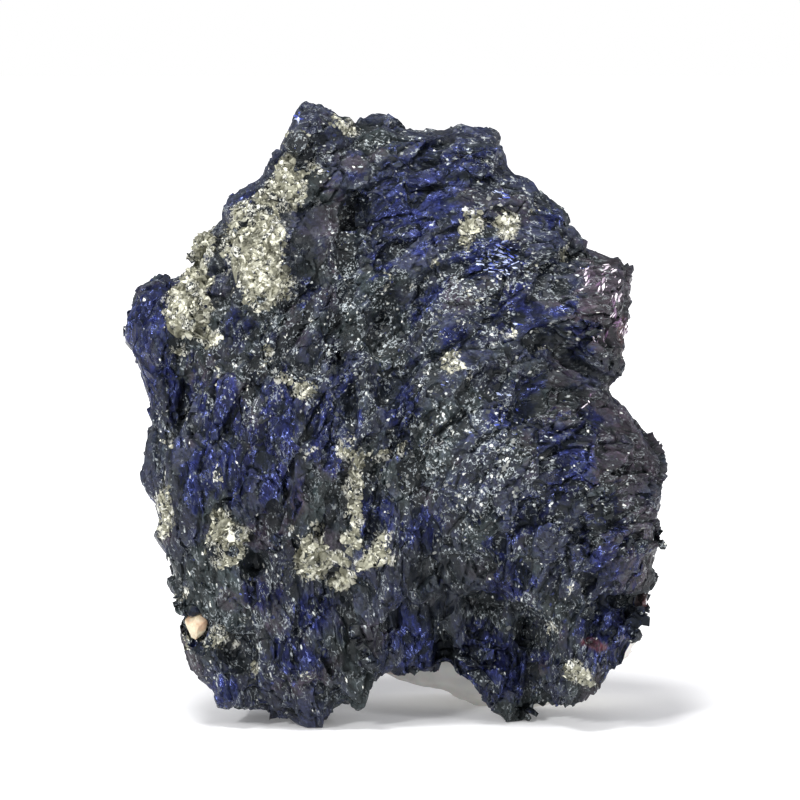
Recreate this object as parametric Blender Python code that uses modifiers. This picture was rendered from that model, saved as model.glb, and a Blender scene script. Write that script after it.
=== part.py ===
# Covellite specimen: one broken mass of dark blue covellite, the pyrite clusters grown into its
# surface, a chip of pale pink quartz on its left edge, and the white putty that props it upright.
# The finished objects are in metres, +Z is up and the front of the specimen looks along -Y.
# The design is written in millimetres: x runs to the right and z up, both seen from the front.
# The front is drawn as it looks from slightly above, so that a point on it lies a little higher
# than it is drawn, the more so the farther it stands out.

import math

import bmesh
import bpy
import numpy as np
from mathutils import Matrix, Vector, noise
from mathutils.bvhtree import BVHTree

MM = 0.001

# Fall of the line of sight that the front is drawn along, per millimetre of depth: 6 degrees
VIEW_FALL = 0.105

# Driving sizes in millimetres
FRONT_SWELL = 9.6
BACK_SWELL = 10.4
RIM_SQUARENESS = 0.62
FACE_FLATNESS = 0.60
BACKWARD_LEAN = 0.035
CONTACT_GAP = 0.4
SKIN_STEP = 0.5
MASS_TRIANGLES = 4700

# The sphere that is reshaped into the mass: steps round the outline and from front to back
STEPS_ROUND = 340
STEPS_ACROSS = 84

# Middle of the outline, the half sizes of the oval that the outline softens into towards the
# middle of each face, and the shares of the way out between which it does so
MIDDLE = (-0.5, 30.0)
INNER_OVAL = (23.0, 28.0)
SOFTENS_BETWEEN = (0.35, 0.97)

# Where the relief of the front fades into that of the back, as shares of the swell
FACES_MEET_BETWEEN = (-0.25, 0.45)

# The widest line wanders to and fro in depth: height of each wave, waves round the outline, start.
# It keeps still near the floor.
RIM_WAVES = [(1.6, 2.0, 0.15), (1.1, 5.0, 0.0)]
RIM_STILL_BETWEEN = (2.0, 9.0)

# The outline seen from the front, clockwise from the highest knob
OUTLINE = [
    # crest, with its three knobs
    (-9.1, 59.8), (-8.2, 60.0), (-7.2, 59.5), (-6.2, 58.7), (-5.2, 58.6), (-4.1, 58.0), (-2.9, 57.6),
    (-1.7, 58.8), (1.1, 57.7), (3.0, 56.9), (4.9, 56.7), (5.6, 57.3), (7.5, 57.4), (9.6, 57.0),
    (10.3, 56.0), (10.8, 54.0), (11.7, 53.3), (12.5, 53.3), (14.1, 51.0), (15.0, 50.8), (16.4, 50.1),
    (17.1, 48.5), (17.0, 47.7), (18.7, 46.3),
    # right headland
    (20.9, 45.2), (21.7, 45.3), (22.6, 44.2), (22.3, 42.6), (22.8, 40.0), (22.4, 38.9), (23.1, 37.9),
    (21.9, 36.5), (22.3, 35.1), (22.0, 34.1), (20.6, 32.5),
    # lower right lobe
    (21.5, 31.1), (22.1, 31.0), (25.0, 27.5), (26.3, 25.9), (26.2, 24.8), (24.9, 22.4), (25.5, 21.4),
    (25.5, 18.2), (24.6, 15.7), (25.2, 14.9), (24.0, 12.7), (24.8, 12.6), (24.7, 11.0), (22.9, 8.9),
    (21.8, 5.6), (20.4, 4.1), (18.5, 3.1), (16.4, 2.2), (13.9, 1.4),
    # right foot, which runs below the floor and is cut flat there
    (12.9, 0.1), (12.1, -0.9), (10.9, -0.9), (10.0, 0.8), (8.2, 1.8), (6.2, 3.6), (4.7, 4.6),
    # arch between the feet
    (2.9, 4.7), (0.9, 5.3), (-1.3, 4.5), (-2.6, 2.7), (-3.5, 1.3), (-6.2, 1.6),
    # left foot, cut flat in the same way
    (-6.7, 0.2), (-7.1, -0.9), (-8.9, -0.9), (-9.8, 0.2), (-12.3, 1.1), (-14.3, 1.5), (-15.6, 1.3),
    (-17.6, 2.3), (-17.7, 4.4), (-19.6, 5.4), (-19.9, 7.4), (-20.3, 9.5), (-21.0, 11.4),
    # left side
    (-21.1, 12.6), (-21.8, 14.0), (-22.4, 16.3), (-23.3, 18.2), (-22.8, 19.9), (-23.1, 21.7), (-24.1, 23.1),
    (-24.4, 24.4), (-23.7, 29.2), (-24.5, 33.1), (-25.4, 36.0), (-26.4, 37.5), (-26.2, 39.2),
    (-25.9, 40.5), (-25.0, 42.1), (-23.8, 43.3), (-22.2, 43.6), (-20.6, 43.2),
    # the bight that holds a pyrite knob, then the climb back to the crest
    (-19.4, 43.9), (-18.9, 45.8), (-18.5, 47.6), (-17.4, 49.0), (-16.3, 51.5), (-13.9, 52.6),
    (-12.2, 54.0), (-11.4, 55.8), (-10.3, 57.2), (-10.1, 58.3),
]

# Swellings and pits of the front: x, z, half width, half height, lean in degrees, rise towards the viewer.
# A higher steepness gives them flatter tops and steeper sides.
SWELLING_STEEPNESS = 1.4
FRONT_SWELLINGS = [
    # left lobe and the shoulder that carries the large pyrite patch
    (-23.4, 37.6, 3.2, 5.2, 0, 2.2),
    (-13.0, 45.5, 3.8, 7.6, -8, 1.7),
    # crest knob and the right hand knob
    (-8.3, 57.0, 2.6, 2.4, 0, 1.4),
    (8.2, 55.0, 3.2, 2.2, 0, 1.6),
    # middle of the face, right headland and lower right lobe
    (5.0, 26.5, 9.0, 9.0, 0, 2.0),
    (5.0, 40.0, 6.0, 6.5, 40, 1.1),
    (19.8, 40.0, 3.2, 5.6, -10, 1.8),
    (19.8, 23.0, 5.6, 7.6, 0, 1.6),
    # lower left flank and the right foot
    (-13.5, 22.0, 6.0, 10.0, 8, 1.2),
    (-9.0, 6.0, 7.0, 4.0, 0, 1.3),
    (17.5, 7.0, 4.6, 4.6, 0, 1.5),
    # pits
    (-9.2, 42.0, 1.5, 2.0, 0, -1.7),
    (-15.4, 7.0, 1.7, 1.7, 0, -2.2),
    (-13.9, 15.6, 1.3, 1.0, 0, -1.3),
    (13.3, 7.7, 1.3, 1.0, 20, -1.8),
    (-0.8, 39.5, 1.4, 3.2, -12, -1.0),
    (2.4, 14.6, 1.2, 1.0, 0, -1.2),
]

# Furrows of the front: start, end, half width and depth
FRONT_FURROWS = [
    ((-17.0, 48.0), (-16.0, 38.0), 1.0, 2.2),
    ((-19.2, 40.0), (-20.4, 27.0), 1.3, 1.3),
    ((-4.4, 50.0), (-5.2, 38.0), 1.1, 1.7),
    ((-5.2, 38.0), (-4.6, 22.0), 1.2, 1.0),
    ((18.6, 46.0), (13.6, 40.0), 1.3, 1.8),
    ((14.0, 36.9), (20.6, 33.0), 0.8, 2.0),
    ((20.0, 10.9), (25.0, 12.7), 0.8, 2.2),
    ((16.0, 18.5), (23.5, 20.5), 0.9, 1.2),
    ((-2.0, 19.0), (-6.5, 3.0), 1.6, 1.5),
]

# The hollow above the arch: its roof line from left to right, and how far it goes in
HOLLOW_ROOF = [(-4.0, 8.0), (-0.2, 11.7), (4.1, 12.8), (11.0, 12.6), (14.8, 10.4), (16.4, 6.0)]
HOLLOW_DEPTH = 4.2
HOLLOW_FADE = 1.3
HOLLOW_LEFT_FADE = 4.0
HOLLOW_RIGHT_FADE = 2.0
FOLD_SPACING = 2.3
FOLD_HEIGHT = 0.7
FOLD_SLANT = 0.35

# Foliation: ledges that curve round a point low on the right
LEDGE_CENTRE = (20.5, 19.0)
LEDGE_SPACING = 3.1
LEDGE_HEIGHT = 1.05
LEDGE_FALLS_AT = 0.82

# Lumps per millimetre of the noise that bends the ledges and of the one that fades them,
# how many spacings they bend by, and their usual, added and greatest strength
LEDGE_BEND_SCALE = 0.09
LEDGE_FADE_SCALE = 0.13
LEDGE_BEND = 1.6
LEDGE_STRENGTH = (0.55, 1.3, 1.2)

# Swellings of the back, in the same form as those of the front
BACK_SWELLINGS = [
    (-12.0, 38.0, 9.0, 12.0, 15, 1.8),
    (10.0, 46.0, 7.0, 6.0, -20, 1.4),
    (12.0, 24.0, 9.0, 8.0, 0, 1.9),
    (-12.0, 14.0, 8.0, 6.0, 0, 1.7),
    (-2.0, 27.0, 4.0, 12.0, -25, -2.2),
    (3.0, 8.0, 7.0, 4.0, 0, -2.4),
    (20.0, 35.0, 4.0, 4.0, 0, -1.6),
    (-20.0, 26.0, 4.0, 5.0, 0, -1.4),
]

# Chips: cells with flat faces, each a little tilted and raised. Size, tilt and rise.
# They are longer along the foliation, most of all far from its centre.
CHIPS = [(5.6, 0.30, 0.65), (3.0, 0.24, 0.30)]
CHIP_STRETCH = 1.7
CHIP_MIX = 5.3
ROUND_RADIUS = 22.0

# Chips are calmer at the rim, so that the outline keeps its drawn shape, and stop at the flat feet
CALM_RIM = 0.25
FEET_FLAT_BETWEEN = (0.1, 0.7)

# Pyrite clusters: name, x, z, side, half width, half height, lean, crystal size, crystals.
# The side is the direction that the cluster is looked at along. Its place is where that look
# passes the plane through the middle of the mass.
FROM_FRONT = (0.0, 1.0, -VIEW_FALL)
FROM_BACK = (0.0, -1.0, 0.0)
FROM_LEFT_FRONT = (0.80, 0.60, -VIEW_FALL)
FROM_NEAR_FRONT = (0.45, 0.89, -VIEW_FALL)
CLUSTERS = [
    ("pyrite_large_patch", -13.0, 45.8, FROM_FRONT, 2.9, 6.2, -4, 2.0, 12),
    ("pyrite_left_knob", -17.4, 46.3, FROM_LEFT_FRONT, 1.8, 2.4, -12, 1.8, 3),
    ("pyrite_left_shoulder", -19.9, 40.2, FROM_FRONT, 2.1, 3.6, -16, 1.9, 5),
    ("pyrite_crest_slope", -10.6, 53.8, FROM_FRONT, 1.5, 2.4, -20, 1.6, 3),
    ("pyrite_upper_right", 7.7, 48.0, FROM_FRONT, 1.3, 1.6, 0, 1.4, 3),
    ("pyrite_vein", -3.7, 22.4, FROM_FRONT, 1.0, 3.9, -3, 1.3, 4),
    ("pyrite_lower_left", -16.2, 17.9, FROM_FRONT, 1.6, 2.4, -10, 1.7, 4),
    ("pyrite_lower_middle", -8.0, 16.1, FROM_FRONT, 1.5, 2.0, 0, 1.8, 3),
    ("pyrite_lower_right", -3.2, 15.2, FROM_FRONT, 2.6, 1.5, 25, 1.9, 4),
    ("pyrite_right_foot", 17.6, 5.0, FROM_FRONT, 1.5, 0.9, -30, 1.2, 2),
    ("pyrite_back_patch", -8.0, 40.0, FROM_BACK, 3.2, 4.4, 25, 2.0, 7),
    ("pyrite_back_fleck", 11.0, 22.0, FROM_BACK, 2.0, 1.6, 0, 1.7, 3),
]
LOOK_FROM = 60.0

# The sheet under a cluster is fitted to this many places each way, out to this square of the
# oval, leaving out places that lie this much farther away than most
FIT_STEPS = 9
FIT_OVAL = 1.1
FIT_REACH = 2.5

# The lens that joins the crystals of a cluster, and the pocket that it sits in
LENS_STEPS = (10, 5)
LENS_ROUNDNESS = 0.25
LENS_FULLNESS = 0.65
CLUSTER_ROOT = 1.2
CLUSTER_BULGE = 0.5
POCKET_RISE = 3.5
POCKET_DEPTH_SHARE = 0.25

# Crystals: how far they keep inside the lens and stand out of it, both as shares of their size,
# the least room for their middles, their scatter, and the smallest share of the full size
CRYSTAL_INSET = 0.75
CRYSTAL_STANDS_OUT = 0.2
CRYSTAL_LEAST_ROOM = 0.12
CRYSTAL_SCATTER = 0.08
CRYSTAL_SMALLEST = 0.62
GOLDEN_ANGLE = math.pi * (3.0 - math.sqrt(5.0))

# Quartz chip on the left edge: place, half sizes, how much of it is sunk, and its corners
QUARTZ_PLACE = (-15.4, 9.2)
QUARTZ_HALF = (1.15, 1.0, 1.3)
QUARTZ_SUNK = 0.25
QUARTZ_CORNERS = 16
QUARTZ_SCATTER = 0.3
QUARTZ_ROOM = 0.6

# Putty behind the base: its middle, half sizes, how blunt its ends are and how far they are
# lifted, how much taller it is to the right, and the depth and spacing of its dents
PUTTY_MIDDLE = (10.8, 8.8, 2.8)
PUTTY_HALF = (13.1, 5.2, 5.0)
PUTTY_STEPS = (24, 12)
PUTTY_BLUNTNESS = 0.5
PUTTY_LIFTS = (1.8, 2.2)
PUTTY_LIFTS_BETWEEN = (0.35, 0.95)
PUTTY_LIFT_CURVE = 1.2
PUTTY_TALLER_RIGHT = 0.15
PUTTY_DENT = 0.30
PUTTY_DENT_SCALE = (2.2, 1.6, 1.6)
ROOM_TRIANGLES = 2200

# Its underside seen from the front, as x and z: the ends hang clear of the floor
PUTTY_UNDERSIDE = [(-3.0, 4.0), (-1.4, 3.4), (2.0, 2.3), (7.0, 1.5), (8.0, 0.0), (15.5, 0.0),
                   (17.0, 1.6), (19.9, 2.9), (23.4, 5.0)]

# Colours and finish of the materials: colour, roughness and metallic value
FINISHES = {
    "covellite": ((0.035, 0.042, 0.105), 0.45, 0.55),
    "pyrite": ((0.62, 0.57, 0.40), 0.30, 0.90),
    "quartz": ((0.78, 0.60, 0.49), 0.35, 0.0),
    "putty": ((0.86, 0.85, 0.82), 0.80, 0.0),
}


def clear_scene():
    for old in list(bpy.data.objects):
        bpy.data.objects.remove(old, do_unlink=True)


def make_collection(name):
    collection = bpy.data.collections.new(name)
    bpy.context.scene.collection.children.link(collection)
    return collection


def make_material(name):
    colour, roughness, metallic = FINISHES[name]
    material = bpy.data.materials.new(name)
    material.use_nodes = True
    shader = material.node_tree.nodes["Principled BSDF"]
    shader.inputs["Base Color"].default_value = (*colour, 1.0)
    shader.inputs["Roughness"].default_value = roughness
    shader.inputs["Metallic"].default_value = metallic
    return material


def make_object(name, mesh, collection):
    made = bpy.data.objects.new(name, mesh)
    collection.objects.link(made)
    return made


def evaluated_mesh(made):
    bpy.context.view_layer.update()
    graph = bpy.context.evaluated_depsgraph_get()
    return bpy.data.meshes.new_from_object(made.evaluated_get(graph))


def apply_modifiers(made):
    mesh = evaluated_mesh(made)
    made.modifiers.clear()
    made.data = mesh


def even_out(made, step):
    """Rebuilds the surface as one closed skin of even squares."""
    remesh = made.modifiers.new("even out", "REMESH")
    remesh.mode = "VOXEL"
    remesh.voxel_size = step * MM
    apply_modifiers(made)


def thin_out(made, triangles):
    """Leaves about this many triangles where the surface turns most."""
    decimate = made.modifiers.new("thin out", "DECIMATE")
    decimate.ratio = triangles / (2.0 * len(made.data.polygons))
    decimate.use_collapse_triangulate = True
    apply_modifiers(made)


def smooth_step(low, high, value):
    share = np.clip((value - low) / (high - low), 0.0, 1.0)
    return share * share * (3.0 - 2.0 * share)


# Relief of the two faces, as height towards the viewer over a place on the face


def swelling_height(x, z, swellings):
    height = np.zeros_like(x)
    for cx, cz, half_x, half_z, lean, rise in swellings:
        turn = math.radians(lean)
        along = (x - cx) * math.cos(turn) + (z - cz) * math.sin(turn)
        across = (z - cz) * math.cos(turn) - (x - cx) * math.sin(turn)
        reach = (along / half_x) ** 2 + (across / half_z) ** 2
        height += rise * np.exp(-(reach**SWELLING_STEEPNESS))
    return height


def furrow_height(x, z, furrows):
    height = np.zeros_like(x)
    for (x0, z0), (x1, z1), half_width, depth in furrows:
        length_squared = (x1 - x0) ** 2 + (z1 - z0) ** 2
        share = np.clip(((x - x0) * (x1 - x0) + (z - z0) * (z1 - z0)) / length_squared, 0.0, 1.0)
        distance = np.hypot(x - x0 - share * (x1 - x0), z - z0 - share * (z1 - z0))
        height -= depth * np.exp(-((distance / half_width) ** 2))
    return height


def hollow_height(x, z):
    roof_x, roof_z = zip(*HOLLOW_ROOF)
    roof = np.interp(x, roof_x, roof_z)
    below = smooth_step(0.0, HOLLOW_FADE, roof - z)
    from_left = smooth_step(0.0, HOLLOW_LEFT_FADE, x - roof_x[0])
    from_right = smooth_step(0.0, HOLLOW_RIGHT_FADE, roof_x[-1] - x)
    folds = FOLD_HEIGHT * np.sin(2.0 * math.pi * (x - FOLD_SLANT * z) / FOLD_SPACING)
    return -(HOLLOW_DEPTH + folds) * below * from_left * from_right


def noise_over(x, z, scale, layer):
    """Soft noise over the face. Each layer is another slice through the same noise."""
    return np.array([noise.noise(Vector((a * scale, b * scale, layer))) for a, b in zip(x, z)])


def ledge_height(x, z):
    distance = np.hypot(x - LEDGE_CENTRE[0], z - LEDGE_CENTRE[1])
    bend = LEDGE_BEND * noise_over(x, z, LEDGE_BEND_SCALE, 3.7)
    usual, added, greatest = LEDGE_STRENGTH
    strength = np.clip(usual + added * noise_over(x, z, LEDGE_FADE_SCALE, 11.2), 0.0, greatest)
    phase = (distance / LEDGE_SPACING + bend) % 1.0
    tooth = phase - smooth_step(LEDGE_FALLS_AT, 1.0, phase)
    return LEDGE_HEIGHT * tooth * strength


def along_foliation(points):
    """The points by distance from the centre of the foliation, way round it, and depth."""
    right, up = points[:, 0] - LEDGE_CENTRE[0], points[:, 2] - LEDGE_CENTRE[1]
    round_it = np.arctan2(up - right, -up - right) * ROUND_RADIUS / CHIP_STRETCH
    return np.stack([np.hypot(right, up), round_it, points[:, 1]], axis=1)


def chip_shift(places, size, tilt, rise):
    """How far each place moves outwards so that the cells of this size get flat, tilted faces."""
    shifts = np.empty(len(places))
    for number, place in enumerate(places):
        cell_place = Vector(place) / size
        middle = noise.voronoi(cell_place)[1][0]
        hand = noise.cell_vector(middle * CHIP_MIX)
        tilted = (cell_place - middle).dot(hand) * tilt
        shifts[number] = tilted * size + (hand.x - 0.5) * 2.0 * rise
    return shifts


# The covellite mass


def outline_points(shares):
    """Points of the outline at these shares of its length."""
    corners = np.array(OUTLINE + OUTLINE[:1])
    steps = np.hypot(*np.diff(corners, axis=0).T)
    along = np.concatenate([[0.0], np.cumsum(steps)]) / steps.sum()
    return np.interp(shares, along, corners[:, 0]), np.interp(shares, along, corners[:, 1])


def rim_depth(shares, z):
    """How far back the widest line of the mass lies, round the outline."""
    wander = sum(
        height * np.sin(2.0 * math.pi * (waves * shares + start)) for height, waves, start in RIM_WAVES
    )
    return (z - MIDDLE[1]) * BACKWARD_LEAN * 2.0 + wander * smooth_step(*RIM_STILL_BETWEEN, z)


def mass_shape(sphere):
    """Reshapes a unit sphere, whose +Z pole becomes the front, into the mass, in millimetres."""
    shares = (-np.arctan2(sphere[:, 1], sphere[:, 0]) / (2.0 * math.pi)) % 1.0
    rim_x, rim_z = outline_points(shares)
    frontness = np.clip(sphere[:, 2], -1.0, 1.0)
    reach = np.sqrt(1.0 - frontness**2) ** RIM_SQUARENESS
    angle = np.arctan2(rim_z - MIDDLE[1], rim_x - MIDDLE[0])
    oval_x = MIDDLE[0] + INNER_OVAL[0] * np.cos(angle)
    oval_z = MIDDLE[1] + INNER_OVAL[1] * np.sin(angle)
    keep = smooth_step(*SOFTENS_BETWEEN, reach)
    x = MIDDLE[0] + reach * (oval_x + keep * (rim_x - oval_x) - MIDDLE[0])
    z = MIDDLE[1] + reach * (oval_z + keep * (rim_z - oval_z) - MIDDLE[1])
    swell = np.where(frontness > 0.0, FRONT_SWELL, BACK_SWELL)
    y = rim_depth(shares, z) - np.sign(frontness) * swell * np.abs(frontness) ** FACE_FLATNESS
    to_front = smooth_step(*FACES_MEET_BETWEEN, frontness)
    drawn_z = z + VIEW_FALL * y
    front = (
        swelling_height(x, drawn_z, FRONT_SWELLINGS)
        + furrow_height(x, drawn_z, FRONT_FURROWS)
        + hollow_height(x, drawn_z)
        + ledge_height(x, drawn_z)
    )
    back = swelling_height(x, z, BACK_SWELLINGS)
    y += -front * to_front + back * (1.0 - to_front)
    return np.stack([x, y, z], axis=1)


def read_points(mesh):
    points = np.empty(len(mesh.vertices) * 3)
    mesh.vertices.foreach_get("co", points)
    return points.reshape(-1, 3)


def write_points(mesh, points):
    mesh.vertices.foreach_set("co", np.asarray(points, np.float32).ravel())
    mesh.update()


def chip_surface(mesh):
    """Breaks the surface into flat chips, and leaves the cut feet flat."""
    normals = np.empty(len(mesh.vertices) * 3)
    mesh.vertices.foreach_get("normal", normals)
    normals = normals.reshape(-1, 3)
    points = read_points(mesh) / MM
    places = along_foliation(points)
    shift = sum(chip_shift(places, *chips) for chips in CHIPS)
    shift *= CALM_RIM + (1.0 - CALM_RIM) * np.abs(normals[:, 1])
    shift *= smooth_step(*FEET_FLAT_BETWEEN, points[:, 2])
    points += normals * shift[:, None]
    points[:, 2] = np.maximum(points[:, 2], 0.0)
    write_points(mesh, points * MM)


def make_mass(collection):
    shape = bmesh.new()
    bmesh.ops.create_uvsphere(shape, u_segments=STEPS_ROUND, v_segments=STEPS_ACROSS, radius=1.0)
    mesh = bpy.data.meshes.new("covellite_mass")
    shape.to_mesh(mesh)
    shape.free()
    write_points(mesh, mass_shape(read_points(mesh)) * MM)
    mass = make_object("covellite_mass", mesh, collection)
    even_out(mass, SKIN_STEP)
    chip_surface(mass.data)
    even_out(mass, SKIN_STEP)
    thin_out(mass, MASS_TRIANGLES)
    points = read_points(mass.data)
    points[:, 2] = np.maximum(points[:, 2], 0.0)
    points[:, :2] -= (points[:, :2].min(axis=0) + points[:, :2].max(axis=0)) / 2.0
    write_points(mass.data, points)
    return mass


# Pyrite clusters


def tree_of(made):
    mesh = made.data
    corners = [vertex.co.copy() for vertex in mesh.vertices]
    return BVHTree.FromPolygons(corners, [tuple(face.vertices) for face in mesh.polygons])


class Patch:
    """A leaning oval on the surface of the mass, looked at along one direction."""

    def __init__(self, tree, place, side, half, lean):
        self.look = Vector(side).normalized()
        self.right = self.look.cross(Vector((0.0, 0.0, 1.0))).normalized()
        self.up = self.right.cross(self.look)
        self.start = Vector((place[0], 0.0, place[1])) * MM - self.look * LOOK_FROM * MM
        self.half = half
        self.lean = math.radians(lean)
        self.bend = self.fit(tree)

    def beside(self, u, v):
        """The start of the look, moved by u and v millimetres along the oval's own axes."""
        cosine, sine = math.cos(self.lean), math.sin(self.lean)
        right, up = u * cosine - v * sine, u * sine + v * cosine
        return self.start + (self.right * right + self.up * up) * MM

    def fit(self, tree):
        """A gently bent sheet through the surface under the oval, as distances from the start."""
        terms, distances = [], []
        for step_u in np.linspace(-1.0, 1.0, FIT_STEPS):
            for step_v in np.linspace(-1.0, 1.0, FIT_STEPS):
                u, v = step_u * self.half[0], step_v * self.half[1]
                distance = tree.ray_cast(self.beside(u, v), self.look)[3]
                if step_u**2 + step_v**2 < FIT_OVAL and distance is not None:
                    terms.append((1.0, u, v, u * u, u * v, v * v))
                    distances.append(distance / MM)
        terms, distances = np.array(terms), np.array(distances)
        near = distances < np.median(distances) + FIT_REACH
        return np.linalg.lstsq(terms[near], distances[near], rcond=None)[0]

    def on_surface(self, u, v):
        """The point of the sheet at this place of the oval."""
        distance = np.dot(self.bend, (1.0, u, v, u * u, u * v, v * v))
        return self.beside(u, v) + self.look * float(distance) * MM


def lens_on(patch, name, collection, grow, root, rise):
    """A lens that follows the surface under a patch: it sinks by root and stands out by rise."""
    shape = bmesh.new()
    bmesh.ops.create_uvsphere(shape, u_segments=LENS_STEPS[0], v_segments=LENS_STEPS[1], radius=1.0)
    for vertex in shape.verts:
        u, v, out = vertex.co
        fuller = max(1e-6, math.hypot(u, v)) ** -LENS_ROUNDNESS
        surface = patch.on_surface(
            u * fuller * (patch.half[0] + grow), v * fuller * (patch.half[1] + grow)
        )
        height = rise if out > 0.0 else root
        fuller_out = math.copysign(abs(out) ** LENS_FULLNESS, out)
        vertex.co = surface - patch.look * fuller_out * height * MM
    mesh = bpy.data.meshes.new(name)
    shape.to_mesh(mesh)
    shape.free()
    return make_object(name, mesh, collection)


def crystal_on(patch, name, collection, u, v, size, hand):
    """One pyrite crystal, a cube turned any way, half sunk in the surface."""
    shape = bmesh.new()
    bmesh.ops.create_cube(shape, size=size * MM)
    turn = Matrix.Identity(4)
    for angle, axis in zip(hand, "XYZ"):
        turn = turn @ Matrix.Rotation(angle, 4, axis)
    middle = patch.on_surface(u, v) - patch.look * CRYSTAL_STANDS_OUT * size * MM
    bmesh.ops.transform(shape, matrix=Matrix.Translation(middle) @ turn, verts=shape.verts)
    mesh = bpy.data.meshes.new(name)
    shape.to_mesh(mesh)
    shape.free()
    return make_object(name, mesh, collection)


def crystal_places(half, size, count, random):
    """Places spread evenly over an oval, by a sunflower spiral with a little scatter."""
    inset = CRYSTAL_INSET * size
    half_u = max(CRYSTAL_LEAST_ROOM, half[0] - inset)
    half_v = max(CRYSTAL_LEAST_ROOM, half[1] - inset)
    for number in range(count):
        reach = math.sqrt((number + 0.5) / count)
        angle = number * GOLDEN_ANGLE
        scatter = random.uniform(-CRYSTAL_SCATTER, CRYSTAL_SCATTER, 2)
        u = half_u * (reach * math.cos(angle) + scatter[0])
        v = half_v * (reach * math.sin(angle) + scatter[1])
        yield u, v, size * random.uniform(CRYSTAL_SMALLEST, 1.0)


def hide_tool(tool):
    tool.hide_render = True
    tool.display_type = "WIRE"


def cut_away(made, tool):
    hide_tool(tool)
    cut = made.modifiers.new(tool.name, "BOOLEAN")
    cut.operation = "DIFFERENCE"
    cut.object = tool


def make_cluster(spec, seed, mass, tree, collection, cutters):
    name, x, z, side, half_u, half_v, lean, size, count = spec
    random = np.random.default_rng(seed)
    patch = Patch(tree, (x, z), side, (half_u, half_v), lean)
    cluster = lens_on(patch, name, collection, 0.0, CLUSTER_ROOT, CLUSTER_BULGE)
    grown = bpy.data.collections.new(name + "_crystals")
    cutters.children.link(grown)
    for number, (u, v, edge) in enumerate(crystal_places((half_u, half_v), size, count, random)):
        hand = random.uniform(0.0, math.pi, 3)
        hide_tool(crystal_on(patch, f"{name}_crystal_{number}", grown, u, v, edge, hand))
    join = cluster.modifiers.new("crystals", "BOOLEAN")
    join.operation = "UNION"
    join.operand_type = "COLLECTION"
    join.collection = grown
    pocket_root = CLUSTER_ROOT + CONTACT_GAP + POCKET_DEPTH_SHARE * size
    cut_away(mass, lens_on(patch, name + "_pocket", cutters, CONTACT_GAP, pocket_root, POCKET_RISE))
    return cluster


# Quartz and putty


def hull_at(name, middle, half, collection):
    """A rough pebble with flat faces: the hull of points scattered over an oval ball."""
    random = np.random.default_rng(7)
    shape = bmesh.new()
    for number in range(QUARTZ_CORNERS):
        height = 1.0 - 2.0 * (number + 0.5) / QUARTZ_CORNERS
        angle = number * GOLDEN_ANGLE + random.uniform(-QUARTZ_SCATTER, QUARTZ_SCATTER)
        spread = math.sqrt(1.0 - height * height)
        ball = (spread * math.cos(angle), spread * math.sin(angle), height)
        shape.verts.new(middle + Vector([b * h * MM for b, h in zip(ball, half)]))
    bmesh.ops.convex_hull(shape, input=shape.verts)
    bmesh.ops.recalc_face_normals(shape, faces=shape.faces)
    mesh = bpy.data.meshes.new(name)
    shape.to_mesh(mesh)
    shape.free()
    return make_object(name, mesh, collection)


def make_quartz(mass, tree, collection, cutters):
    patch = Patch(tree, QUARTZ_PLACE, FROM_NEAR_FRONT, QUARTZ_HALF[:2], 0)
    middle = patch.on_surface(0.0, 0.0) + patch.look * QUARTZ_SUNK * MM
    chip = hull_at("pink_quartz_chip", middle, QUARTZ_HALF, collection)
    room = [half + QUARTZ_ROOM for half in QUARTZ_HALF]
    cut_away(mass, hull_at("pink_quartz_chip_pocket", middle, room, cutters))
    return chip


def make_putty(mass, collection, cutters):
    """A pressed lump that follows the back of the base and rests on the floor."""
    shape = bmesh.new()
    bmesh.ops.create_uvsphere(shape, u_segments=PUTTY_STEPS[0], v_segments=PUTTY_STEPS[1], radius=1.0)
    for vertex in shape.verts:
        x, y, z = vertex.co
        scale_x, scale_y, scale_z = PUTTY_DENT_SCALE
        dent = PUTTY_DENT * noise.noise(Vector((x * scale_x, y * scale_y, z * scale_z + 5.0)))
        lift = PUTTY_LIFTS[x > 0.0] * float(smooth_step(*PUTTY_LIFTS_BETWEEN, abs(x))) ** PUTTY_LIFT_CURVE
        place = Vector((x * (1.0 + PUTTY_BLUNTNESS * (1.0 - x * x)), y, z)) * (1.0 + dent)
        rise = PUTTY_HALF[2] * place.z * (1.0 + PUTTY_TALLER_RIGHT * x) + lift
        vertex.co.x = PUTTY_MIDDLE[0] + PUTTY_HALF[0] * place.x
        vertex.co.y = PUTTY_MIDDLE[1] + PUTTY_HALF[1] * place.y
        lowest = float(np.interp(vertex.co.x, *zip(*PUTTY_UNDERSIDE)))
        vertex.co.z = max(lowest, PUTTY_MIDDLE[2] + rise)
        vertex.co *= MM
    mesh = bpy.data.meshes.new("putty_support")
    shape.to_mesh(mesh)
    shape.free()
    putty = make_object("putty_support", mesh, collection)
    room = make_object("putty_support_room", mass.data.copy(), cutters)
    push = room.modifiers.new("gap", "DISPLACE")
    push.mid_level = 0.0
    push.strength = CONTACT_GAP * MM
    even_out(room, SKIN_STEP)
    thin_out(room, ROOM_TRIANGLES)
    cut_away(putty, room)
    return putty


def drop_crumbs(made):
    """Applies the cuts and keeps the largest body, without the slivers left between two pockets."""
    apply_modifiers(made)
    shape = bmesh.new()
    shape.from_mesh(made.data)
    bodies = []
    unseen = set(shape.verts)
    while unseen:
        edge = [unseen.pop()]
        body = set(edge)
        while edge:
            corner = edge.pop()
            beside = {side.other_vert(corner) for side in corner.link_edges} & unseen
            unseen -= beside
            body |= beside
            edge.extend(beside)
        bodies.append(body)
    largest = max(bodies, key=len)
    crumbs = [corner for corner in shape.verts if corner not in largest]
    bmesh.ops.delete(shape, geom=crumbs, context="VERTS")
    shape.to_mesh(made.data)
    shape.free()


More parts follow.
